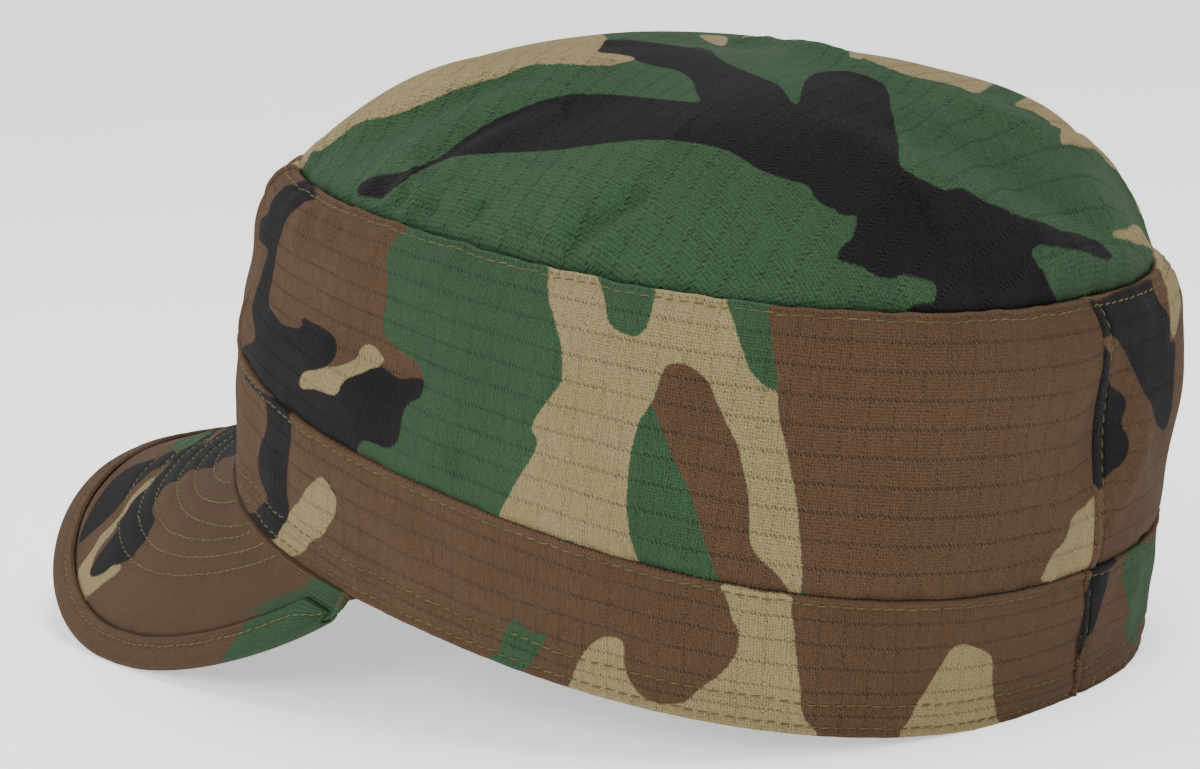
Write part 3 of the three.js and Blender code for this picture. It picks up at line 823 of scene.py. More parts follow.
LEFT_STROKES = [
    ([(555, 398), (600, 396), (655, 392)], 6.0, -1.3), ([(575, 440), (598, 462), (622, 482)], 4.0, -0.9),
    ([(450, 470), (470, 450)], 3.2, -0.8), ([(380, 505), (400, 490)], 3.2, -0.7),
    ([(900, 320), (901, 340)], 2.4, 0.7), ([(920, 320), (921, 345)], 2.4, -0.9),
    ([(940, 320), (941, 342)], 2.4, 0.7), ([(957, 320), (958, 345)], 2.4, -0.9),
    ([(973, 320), (974, 340)], 2.4, 0.6), ([(985, 347), (1030, 338), (1080, 329)], 3.0, -1.0),
    ([(985, 358), (1035, 349), (1082, 341)], 3.2, 0.7), ([(303, 212), (296, 250)], 2.6, 0.8),
    ([(318, 206), (312, 242)], 2.4, -1.0), ([(331, 210), (326, 244)], 2.4, 0.8),
    ([(343, 214), (338, 240)], 2.2, -0.8), ([(357, 218), (352, 242)], 2.2, 0.5),
    ([(430, 240), (424, 262)], 2.4, -0.6), ([(860, 400), (930, 430), (1010, 440)], 8.0, -0.7),
    ([(700, 520), (760, 470), (830, 450)], 9.0, 0.6), ([(330, 300), (360, 330)], 5.0, -0.7)]
RIGHT_STROKES = [
    ([(1108, 530), (1125, 490), (1140, 460), (1148, 420)], 3.0, 1.2),
    ([(1150, 250), (1163, 280), (1170, 310)], 2.4, 1.1),
    ([(1142, 258), (1154, 290), (1160, 320)], 2.2, -0.9),
    ([(1120, 340), (1128, 400), (1124, 460)], 4.0, -0.8)]
fold_seen(top, TOP_STROKES, TOP_GAIN)
fold_seen(left, LEFT_STROKES)
fold_seen(right, RIGHT_STROKES)
print("strokes:", len(TOP_STROKES) + len(LEFT_STROKES) + len(RIGHT_STROKES))

# %% [markdown]
# ## Printing the camouflage
#
# Woodland is a common pattern in four inks: brown, green, tan and black blotches with soft
# wavy edges. Painting it on an image is one way. We chart each blotch by its outline instead,
# which stays crisp at any distance. The outlines are read in the picture's pixels and carried
# through the camera onto the cloth, so they stay on it from every side.

# %% Charting helpers
INKS = ("green", "tan", "black")
# Distances to a blotch are kept up to this many millimetres.
FAR = 6.0
# How far green and tan run on under other inks, and from where and how softly they do.
UNDER_GREEN, UNDER_TAN, UNDER_REACH, UNDER_FADE = 0.5, 0.4, 1.6, 0.6


def flowing(outline, parts=3):
    """A closed outline made smooth through its points."""
    a, b, c, d = (np.roll(outline, shift, 0) for shift in (1, 0, -1, -2))
    t = np.arange(parts)[:, None, None] / parts
    curve = 0.5 * (2 * b + (c - a) * t + (2 * a - 5 * b + 4 * c - d) * t ** 2
                   + (3 * b - a - 3 * c + d) * t ** 3)
    return curve.transpose(1, 0, 2).reshape(-1, 2)


def distance_to(places, outline):
    """Distance to an outline, below zero inside it, for places that are near it."""
    result = np.full(len(places), FAR)
    low, high = outline.min(0) - FAR, outline.max(0) + FAR
    near = np.nonzero(((places > low) & (places < high)).all(-1))[0]
    a, b = outline, np.roll(outline, -1, 0)
    edge = b - a
    span = np.maximum((edge ** 2).sum(-1), 1e-9)
    for part in in_parts(near):
        p = places[part][:, None]
        t = np.clip(((p - a) * edge).sum(-1) / span, 0, 1)
        reach = np.linalg.norm(p - a - t[..., None] * edge, axis=-1).min(1)
        crosses = (a[:, 1] > p[..., 1]) != (b[:, 1] > p[..., 1])
        rise = np.where(abs(edge[:, 1]) < 1e-9, 1e-9, edge[:, 1])
        left_of = p[..., 0] < a[:, 0] + (p[..., 1] - a[:, 1]) * edge[:, 0] / rise
        inside = (crosses & left_of).sum(1) % 2 == 1
        result[part] = np.clip(np.where(inside, -reach, reach), -FAR, FAR)
    return result


def ink_all(cloth, ink):
    for name in INKS:
        cloth.print[name] = np.full(cloth.u.size, -FAR if name == ink else FAR)


def lay(cloth, ink, outline):
    """Print one blotch over what is there. Brown is the cloth's own colour."""
    distance = distance_to(cloth.chart.reshape(-1, 2), flowing(np.array(outline, float)))
    for name in INKS:
        field = cloth.print[name]
        laid, cut = np.minimum(field, distance), np.maximum(field, -distance)
        cloth.print[name] = laid if name == ink else cut


def print_seen(cloth, ink, dots, beyond=()):
    """Print a blotch read in the picture, with any chart places that carry it on out of sight."""
    outline = locate(cloth, dots)
    if len(beyond):
        outline = np.concatenate([outline, np.array(beyond, float)])
    lay(cloth, ink, outline)


def overlap(cloth):
    """Carry a lower ink on under the inks above it, so that no bare cloth shows between them."""
    green, tan, black = (cloth.print[ink] for ink in INKS)
    layers = (("green", green, np.minimum(tan, black), UNDER_GREEN), ("tan", tan, black, UNDER_TAN))
    for ink, field, above, amount in layers:
        near = np.clip((UNDER_REACH - above) / UNDER_FADE, 0, 1)
        cloth.print[ink] = field - amount * (np.minimum(field, above) < 0) * near


for cloth in (band, left, right, front, visor, binding):
    ink_all(cloth, "brown")
ink_all(top, "green")
print("camera sees the top's middle at", in_picture(top.grid[-1, 0]).round())

# %% [markdown]
# The top is cut from a green part of the cloth. A wide black blotch sweeps over it, and tan
# shows along its far edges. Where a blotch runs out of the camera's sight, a few points in
# millimetres carry it on.

# %% Print of the top
TOP_BLACK = [
    (357, 190), (360, 184), (366, 180), (380, 175), (400, 173), (412, 169), (425, 164), (440, 157),
    (452, 148), (466, 137), (482, 127), (500, 117), (520, 109), (540, 101), (560, 96), (580, 94),
    (600, 94), (620, 95), (640, 97), (660, 99), (680, 101), (700, 102), (696, 92), (694, 84),
    (687, 76), (676, 70), (660, 67), (640, 62), (633, 58), (615, 54), (600, 52), (596, 50),
    (604, 43), (615, 40), (630, 39), (645, 42), (660, 45), (680, 47), (700, 47), (712, 53),
    (722, 60), (735, 67), (750, 73), (765, 79), (777, 84), (784, 91), (790, 100), (795, 104),
    (800, 100), (802, 88), (806, 80), (816, 73), (830, 71), (845, 71), (860, 74), (874, 79),
    (884, 85), (889, 95), (891, 110), (894, 122), (897, 135), (899, 150), (899, 162), (905, 170),
    (917, 177), (930, 183), (945, 190), (953, 188), (962, 188), (972, 193), (985, 201), (1005, 209),
    (1022, 217), (1045, 223), (1062, 231), (1080, 234), (1095, 240), (1105, 247), (1113, 256),
    (1118, 260), (1105, 259), (1090, 254), (1075, 250), (1050, 246), (1040, 245), (1033, 249),
    (1031, 254), (1035, 260), (1042, 270), (1048, 282), (1053, 292), (1057, 303), (1030, 312),
    (990, 318), (945, 320), (905, 318), (905, 313), (913, 306), (922, 303), (932, 303), (936, 295),
    (936, 285), (930, 281), (915, 277), (905, 275), (893, 278), (880, 278), (870, 272), (860, 266),
    (848, 263), (836, 258), (840, 250), (846, 243), (852, 238), (855, 230), (857, 216), (843, 215),
    (835, 210), (822, 204), (815, 197), (810, 188), (800, 183), (790, 180), (770, 174), (755, 167),
    (740, 157), (725, 150), (710, 146), (695, 143), (680, 141), (660, 140), (640, 140), (620, 142),
    (600, 144), (580, 147), (560, 150), (540, 151), (520, 152), (500, 153), (480, 154), (460, 156),
    (445, 160), (430, 166), (415, 174), (400, 184), (384, 197), (366, 196), (359, 197)]
TOP_TAN_FRONT = [
    (300, 172), (305, 163), (320, 151), (340, 136), (355, 125), (362, 121), (380, 118), (400, 113),
    (420, 105), (440, 96), (460, 88), (480, 82), (500, 77), (515, 70), (530, 65), (560, 64),
    (600, 65), (620, 63), (635, 58), (615, 54), (596, 50), (610, 42)]
TOP_TAN_TONGUE = [(700, 35), (706, 40), (714, 44), (724, 46), (728, 40), (724, 36)]
TOP_TAN_FAR = [
    (740, 37), (760, 35), (780, 36), (800, 40), (820, 45), (850, 57), (880, 69), (910, 76),
    (940, 82), (960, 87), (980, 93)]
TOP_TAN_BACK = [
    (1015, 104), (1030, 110), (1042, 117), (1052, 126), (1060, 136), (1070, 144), (1085, 148),
    (1100, 153), (1110, 165), (1125, 177), (1135, 190), (1137, 210), (1145, 225)]
TOP_TAN_PATCH = [
    (1112, 232), (1120, 230), (1130, 227), (1138, 226), (1142, 230), (1146, 238), (1152, 246),
    (1152, 250), (1140, 245), (1128, 240), (1115, 238), (1110, 234)]

print_seen(top, "black", TOP_BLACK)
print_seen(top, "tan", TOP_TAN_FRONT, [(-14, -62), (0, -80), (24, -90), (46, -84)])
print_seen(top, "tan", TOP_TAN_TONGUE)
print_seen(top, "tan", TOP_TAN_FAR,
           [(-46, 34), (-55, 20), (-50, 2), (-58, -14), (-44, -26), (-32, -22)])
print_seen(top, "tan", TOP_TAN_BACK, [(-44, 84), (-62, 68), (-66, 48), (-50, 44)])
print_seen(top, "tan", TOP_TAN_PATCH)
lay(top, "brown", [(-40, -60), (-52, -48), (-70, -40), (-80, -52), (-70, -76), (-48, -82)])
lay(top, "black", [(-60, 30), (-68, 12), (-82, 4), (-88, 26), (-80, 48), (-66, 46)])
print("top: share printed black", round(float((top.print["black"] < 0).mean()), 2))

# %% [markdown]
# The left panel shows most of the print. Its cloth is brown on the left, green in the middle
# and brown again towards the back, so the green is laid first and the rest on top.

# %% Print of the side panels
# Edges that two blotches have in common.
GREEN_TO_BLACK = [
    (424, 381), (423, 390), (420, 398), (410, 402), (404, 410), (402, 418), (400, 430), (398, 440),
    (393, 446), (385, 448), (378, 445), (370, 442), (362, 441), (357, 450)]
GREEN_TO_BROWN = [
    (801, 587), (802, 575), (801, 553), (799, 527), (797, 506), (794, 487), (789, 463), (786, 444),
    (781, 429), (778, 408), (777, 392)]
TAN_TO_LEAF = [
    (654, 397), (657, 388), (660, 379), (663, 371), (668, 364), (677, 363), (688, 365), (697, 371),
    (706, 379), (712, 388), (715, 399), (721, 410), (726, 422), (732, 434), (738, 446), (742, 463),
    (745, 477), (748, 491), (749, 510), (750, 522), (749, 534), (751, 544), (756, 554), (763, 562),
    (773, 570), (781, 579), (787, 588), (790, 597)]

LEFT_GREEN = [
    (405, 214), (408, 228), (400, 236), (392, 244), (387, 256), (386, 268), (388, 280), (388, 292),
    (386, 305), (384, 316), (383, 328), (387, 337), (393, 345), (404, 353), (413, 360), (420, 367),
    (424, 375), *GREEN_TO_BLACK, (420, 485), (480, 515), (560, 548), (660, 580), (723, 597),
    (799, 610), *GREEN_TO_BROWN, (777, 376), (774, 358), (772, 342), (770, 326), (768, 310),
    (768, 296), (700, 283), (600, 260), (500, 238)]
LEFT_TAN = [
    (554, 245), (554, 262), (552, 265), (549, 274), (548, 288), (549, 301), (553, 313), (556, 326),
    (560, 340), (562, 358), (562, 376), (560, 385), (549, 399), (538, 414), (531, 429), (537, 438),
    (536, 449), (525, 468), (516, 482), (509, 496), (502, 508), (500, 522), (520, 536), (560, 552),
    (600, 566), (638, 575), (637, 558), (634, 549), (630, 537), (628, 522), (626, 508), (627, 491),
    (629, 467), (631, 451), (635, 436), (639, 421), (644, 413), (651, 404), *TAN_TO_LEAF,
    (799, 606), *GREEN_TO_BROWN, (767, 388), (759, 381),
    (749, 369), (744, 354), (739, 340), (734, 323), (729, 310), (726, 301), (725, 290), (656, 274),
    (656, 289), (654, 301), (651, 315), (647, 326), (643, 332), (636, 337), (627, 335), (618, 331),
    (612, 326), (607, 319), (606, 310), (604, 297), (601, 285), (596, 276), (592, 264), (592, 255)]
LEFT_BROWN_LEAF = [
    (651, 405), *TAN_TO_LEAF, (799, 610), (760, 606), (723, 597), (723, 589), (719, 579),
    (713, 568), (709, 553), (704, 539), (699, 520), (695, 508), (691, 494), (685, 482), (679, 470),
    (672, 456), (666, 440), (662, 429), (656, 415)]
LEFT_BLACK_STRIPE = [
    (296, 184), (287, 185), (277, 194), (270, 205), (267, 215), (267, 228), (267, 248), (264, 265),
    (259, 283), (255, 295), (252, 310), (254, 325), (255, 340), (247, 345), (241, 352), (242, 366),
    (250, 380), (265, 400), (293, 420), (330, 440), (357, 455), *GREEN_TO_BLACK[::-1],
    (420, 378), (412, 378), (403, 379), (395, 376), (388, 371),
    (380, 366), (370, 369), (358, 375), (350, 377), (343, 382), (339, 388), (338, 394), (330, 395),
    (322, 392), (312, 389), (303, 389), (298, 384), (300, 378), (305, 376), (317, 371), (327, 366),
    (335, 357), (337, 347), (334, 337), (325, 329), (312, 322), (302, 317), (302, 327), (295, 328),
    (282, 324), (275, 315), (269, 305), (270, 290), (274, 270), (277, 250), (281, 235), (286, 220),
    (295, 210), (305, 202), (317, 197), (312, 184)]
LEFT_TAN_SPOT = [
    (302, 374), (307, 371), (315, 370), (325, 368), (338, 366), (348, 363), (357, 358), (360, 350),
    (366, 344), (372, 345), (378, 350), (383, 357), (383, 362), (378, 367), (370, 369), (360, 373),
    (350, 377), (343, 382), (339, 389), (337, 394), (331, 395), (322, 390), (312, 388), (303, 388),
    (300, 383)]
LEFT_GREEN_SPOT = [(565, 541), (570, 540), (576, 543), (575, 549), (566, 550)]
LEFT_TAN_BACK = [
    (1098, 490), (1094, 496), (1090, 500), (1085, 506), (1077, 512), (1071, 520), (1069, 530),
    (1064, 542), (1056, 550), (1050, 559), (1045, 571), (1041, 581), (1064, 590), (1096, 580)]
FRONT_TAN = [
    (283, 176), (290, 166), (297, 160), (301, 166), (303, 178), (297, 181), (290, 179)]
RIGHT_BLACK_HIGH = [
    (1090, 304), (1097, 302), (1120, 290), (1150, 278), (1152, 283), (1156, 295), (1162, 306),
    (1169, 315), (1170, 327), (1170, 341), (1175, 343), (1175, 362), (1174, 380), (1172, 405),
    (1169, 420), (1165, 430), (1157, 425), (1154, 415), (1150, 402), (1145, 395), (1137, 377),
    (1131, 365), (1125, 352), (1119, 342), (1111, 336), (1102, 337), (1090, 339)]
RIGHT_BLACK_LOW = [
    (1086, 346), (1106, 347), (1109, 360), (1109, 375), (1111, 385), (1119, 392), (1124, 397),
    (1126, 407), (1122, 417), (1122, 427), (1127, 435), (1129, 447), (1126, 457), (1120, 466),
    (1112, 471), (1107, 476), (1104, 479), (1086, 480)]
RIGHT_TAN = [
    (1158, 232), (1155, 238), (1151, 246), (1152, 256), (1158, 268), (1164, 282), (1168, 298),
    (1171, 315), (1172, 335), (1177, 330), (1181, 300), (1181, 275), (1178, 250)]

print_seen(left, "green", LEFT_GREEN)
print_seen(left, "tan", LEFT_TAN)
print_seen(left, "brown", LEFT_BROWN_LEAF)
print_seen(left, "black", LEFT_BLACK_STRIPE)
print_seen(left, "tan", LEFT_TAN_SPOT)
print_seen(left, "green", LEFT_GREEN_SPOT)
print_seen(left, "tan", LEFT_TAN_BACK)
print_seen(front, "black", LEFT_BLACK_STRIPE)
print_seen(front, "tan", FRONT_TAN)

# The far side is made up: the left panel's blotches, turned half round and slid along it.
TURN_SLIDE = 22
corner = np.array([right.u.max() + TURN_SLIDE, right.v.max()])
for ink, dots in (("green", LEFT_GREEN), ("tan", LEFT_TAN), ("brown", LEFT_BROWN_LEAF),
                  ("black", LEFT_BLACK_STRIPE), ("tan", LEFT_TAN_SPOT)):
    lay(right, ink, corner - locate(left, dots))
lay(right, "brown", [(-5, -5), (60, -5), (66, 12), (56, 28), (62, 52), (-5, 52)])
print_seen(right, "black", RIGHT_BLACK_HIGH)
print_seen(right, "black", RIGHT_BLACK_LOW)
print_seen(right, "tan", RIGHT_TAN)
lay(front, "green", [(20, -5), (36, 8), (58, 6), (70, 20), (64, 38), (44, 52), (10, 52), (16, 30)])
lay(front, "black", [(62, 52), (76, 38), (74, 22), (88, 10), (100, 18), (94, 36), (100, 52)])
lay(front, "tan", [(-5, 30), (8, 34), (14, 22), (8, 8), (-5, 4)])
print("left: share printed tan", round(float((left.print["tan"] < 0).mean()), 2))

# %% [markdown]
# The band is a strip cut from another part of the cloth, so its print doesn't run on from the
# wall above it. The blotches read on its left side also make up its hidden side, turned half
# round and in other inks. The visor and its binding have a few blotches of their own.

# %% Print of the band, visor and binding
BAND_BLACK = [
    (243, 372), (262, 398), (266, 400), (267, 414), (266, 431), (261, 443), (258, 460), (259, 474),
    (264, 488), (267, 498), (261, 505), (254, 513), (244, 518), (248, 526), (254, 533), (260, 540),
    (263, 544), (274, 540), (279, 533), (284, 524), (289, 514), (289, 505), (287, 495), (287, 481),
    (288, 462), (291, 443), (291, 429), (292, 412), (280, 400)]
BAND_TAN = [
    (322, 477), (326, 481), (331, 489), (336, 498), (336, 507), (334, 517), (328, 526), (322, 536),
    (313, 540), (306, 549), (298, 555), (290, 562), (278, 558), (272, 549), (264, 545), (274, 540),
    (280, 531), (285, 524), (289, 517), (292, 509), (299, 502), (304, 492), (312, 483), (319, 478)]
BAND_GREEN = [
    (517, 618), (510, 622), (505, 631), (501, 641), (498, 653), (492, 668), (509, 676), (523, 676),
    (529, 666), (537, 653), (544, 641), (549, 633), (539, 633), (531, 633), (525, 627), (520, 620)]
BAND_TAN_ARCH = [
    (566, 692), (568, 687), (573, 675), (578, 663), (585, 651), (593, 643), (604, 637), (613, 637),
    (620, 639), (624, 646), (624, 658), (625, 668), (629, 679), (635, 689), (642, 696), (656, 703),
    (670, 704), (682, 703), (689, 699), (697, 691), (706, 684), (718, 676), (728, 666), (735, 656),
    (738, 646), (739, 637), (737, 627), (732, 618), (728, 603), (725, 595), (722, 584), (760, 592),
    (791, 596), (791, 610), (794, 627), (795, 646), (798, 670), (800, 687), (801, 706), (805, 720),
    (807, 742), (740, 734), (680, 724), (620, 708)]
BAND_TAN_BACK = [
    (898, 742), (900, 735), (906, 725), (913, 712), (920, 699), (927, 689), (934, 676), (943, 663),
    (948, 653), (956, 646), (963, 644), (972, 646), (983, 650), (990, 655), (993, 663), (992, 678),
    (993, 694), (995, 707), (997, 719), (996, 735), (950, 742)]
BAND_BLACK_BACK = [
    (1088, 560), (1085, 591), (1083, 612), (1079, 635), (1076, 653), (1072, 669), (1074, 672),
    (1079, 660), (1085, 645), (1093, 630), (1100, 609), (1106, 589), (1109, 571), (1111, 555)]
BAND_GREEN_BACK = [
    (1121, 550), (1139, 545), (1160, 538), (1152, 584), (1142, 617), (1136, 642), (1127, 637),
    (1126, 625), (1129, 614), (1125, 591), (1122, 573)]
BAND_PRINT = [("black", BAND_BLACK), ("tan", BAND_TAN), ("green", BAND_GREEN), ("tan", BAND_TAN_ARCH),
              ("tan", BAND_TAN_BACK)]
OTHER_INK = {"black": "green", "tan": "black", "green": "tan"}
BAND_SLIDE = 18
round_length = band.u.max()
corner = np.array([round_length - BAND_SLIDE, BAND_TOP["height"]])
for ink, dots in BAND_PRINT:
    lay(band, OTHER_INK[ink], corner - locate(band, dots))
lay(band, "brown", [(-5, -5), (42, -5), (48, 14), (40, 35), (-5, 35)])
lay(band, "green", [(214, -5), (240, -5), (262, 8), (258, 20), (280, 35), (236, 35), (222, 20)])
lay(band, "tan", [(286, -5), (290, 6), (301, 9), (309, 3), (309, -5)])
for ink, dots in BAND_PRINT:
    print_seen(band, ink, dots)
# These two lie across the back seam, so the part before it is carried to the strip's start.
for ink, dots in (("black", BAND_BLACK_BACK), ("green", BAND_GREEN_BACK)):
    outline = locate(band, dots)
    outline[:, 0] -= round_length * (outline[:, 0] > round_length / 2)
    lay(band, ink, outline)

VISOR_BLACK_OUTER = [
    (70, 556), (78, 545), (81, 533), (89, 515), (99, 497), (114, 479), (132, 466), (150, 460),
    (163, 455), (173, 450), (183, 441), (196, 433), (209, 427), (224, 418), (224, 423), (200, 447),
    (178, 460), (155, 469), (140, 482), (132, 489), (122, 502), (114, 512), (104, 522), (89, 535)]
VISOR_TAN = [
    (76, 579), (92, 550), (101, 535), (112, 525), (122, 513), (129, 501), (140, 488), (152, 478),
    (156, 476), (152, 483), (142, 492), (132, 502), (126, 512), (118, 522), (112, 533), (103, 543),
    (95, 556), (90, 571), (92, 577), (104, 573), (112, 566), (121, 566), (117, 573), (106, 581),
    (92, 593), (84, 600)]
VISOR_BLACK_INNER = [
    (87, 579), (94, 563), (104, 548), (114, 535), (118, 528), (115, 522), (124, 515), (129, 502),
    (140, 494), (150, 484), (160, 474), (173, 461), (193, 451), (214, 438), (242, 420), (244, 446),
    (226, 457), (209, 468), (193, 469), (183, 476), (168, 484), (158, 497), (152, 510), (155, 520),
    (150, 530), (142, 545), (132, 558), (119, 564), (104, 573)]
VISOR_GREEN_FAR = [(172, 450), (180, 440), (196, 431), (214, 424), (220, 427), (205, 436), (188, 447)]
VISOR_GREEN_NEAR = [(240, 622), (247, 611), (280, 596), (312, 581), (345, 590), (356, 604), (300, 640)]
lay(visor, "green", [(-75, -150), (-44, -165), (-22, -146), (-36, -128), (-52, -118), (-80, -112)])
lay(visor, "black", [(-64, -78), (-50, -84), (-38, -104), (-46, -122), (-58, -112), (-76, -96)])
lay(visor, "tan", [(-14, -98), (-4, -104), (2, -120), (-8, -132), (-20, -124), (-22, -108)])
print_seen(visor, "black", VISOR_BLACK_OUTER)
print_seen(visor, "black", VISOR_BLACK_INNER)
print_seen(visor, "tan", VISOR_TAN)
print_seen(visor, "green", VISOR_GREEN_FAR)
print_seen(visor, "green", VISOR_GREEN_NEAR)
# The binding turns green here, and stays green to its end.
BINDING_TURNS_GREEN, TO_THE_END = (241, 636), 60
start = locate(binding, [BINDING_TURNS_GREEN])[0, 0]
end = start + np.sign(start - binding.u.max() / 2) * TO_THE_END
lay(binding, "green", [(start, -5), (end, -5), (end, 40), (start, 40), (start + 1.5, 10)])
for cloth in (top, left, right, front, band, visor, binding):
    overlap(cloth)
print("band: share printed tan", round(float((band.print["tan"] < 0).mean()), 2))

# %% [markdown]
# ## The cloth's finish
#
# The fabric is a cotton and nylon ripstop, woven and then printed and washed. Cotton gives it
# a dry, matt face with a faint fuzz, so it is rough with a little sheen. Every 5 mm or so a
# thicker thread runs both ways and stands up as a dotted line.

# %% Colours
def linear(hex_code):
    """An sRGB hex colour as linear red, green, blue and alpha."""
    parts = [int(hex_code[i:i + 2], 16) / 255 for i in (1, 3, 5)]
    return [*(c / 12.92 if c <= 0.04045 else ((c + 0.055) / 1.055) ** 2.4 for c in parts), 1.0]


INK_BROWN = linear("#4e3b2b")
INK_GREEN = linear("#304831")
INK_TAN = linear("#827554")
INK_BLACK = linear("#191718")
THREAD_OLIVE = linear("#676536")
THREAD_BROWN = linear("#38311c")
INSIDE_CLOTH = linear("#5f5a48")
print("brown ink, linear:", [round(c, 3) for c in INK_BROWN])

# %% [markdown]
# One small function adds a node, sets it and links it. The rest of a material then reads as a
# list of steps.

# %% Node helper
def node(tree, kind, inputs=(), **settings):
    """Add a shader node of a kind. inputs gives sockets a value or another node's output."""
    made = tree.nodes.new("ShaderNode" + kind)
    for key, value in settings.items():
        setattr(made, key, value)
    for socket, value in dict(inputs).items():
        if isinstance(value, bpy.types.NodeSocket):
            tree.links.new(value, made.inputs[socket])
        else:
            made.inputs[socket].default_value = value
    return made


def new_material(name):
    material = bpy.data.materials.new(name)
    material.use_nodes = True
    tree = material.node_tree
    tree.nodes.clear()
    shader = node(tree, "BsdfPrincipled")
    node(tree, "OutputMaterial", {"Surface": shader.outputs[0]})
    return material, tree, shader


# %% [markdown]
# The print is kept on the mesh as a distance to each ink's edge in millimetres. The material
# turns the distance into a mask with an edge 0.3 mm wide, frayed by the threads. The weave is
# two crossed waves. Real threads lie about 0.4 mm apart, which is lost in the render, so they
# are drawn 0.56 mm apart. The ripstop's thicker threads are 5 mm apart, as on the real cloth.

# %% Printed ripstop
# Spacing of the thicker threads, of the weave and of the dashes, in millimetres.
RIPSTOP, THREAD, DASH = 5.0, 0.56, 0.85
# Depth of the frayed edge of an ink, and half of its soft width, in millimetres.
FRAY, EDGE_SOFT = 0.6, 0.16
# Noise steps in each millimetre: of the frayed edge, the grain and the large soft patches.
FRAY_SCALE, GRAIN_SCALE, PATCH_SCALE = 1.6, 2.3, 0.05
# A slub is 0.4 mm wide and some 3 mm long.
SLUB_SCALE = (2.6, 0.35, 1.0)
# Each direction of thicker threads: along, across, half width in mm and strength.
THICK_THREADS = (("Y", "X", 0.5, 1.0), ("X", "Y", 0.4, 0.6))
DASH_SLANT, WEAVE_BIAS = 0.8, 0.6
# How much each layer lightens or darkens the ink. The edge layer lightens folded edges, partly as wear
# and partly as a painted highlight.
WEAVE, GRAIN, SLUB, SOFT, DASHES, EDGE_WEAR_AND_HIGHLIGHT = 0.2, 1.7, 0.55, 0.3, 0.3, 0.35
# How much each layer raises the surface, and by how many metres at most.
WEAVE_RISE, SLUB_RISE, DASH_RISE, RELIEF = 0.3, 1.2, 0.8, 0.0003


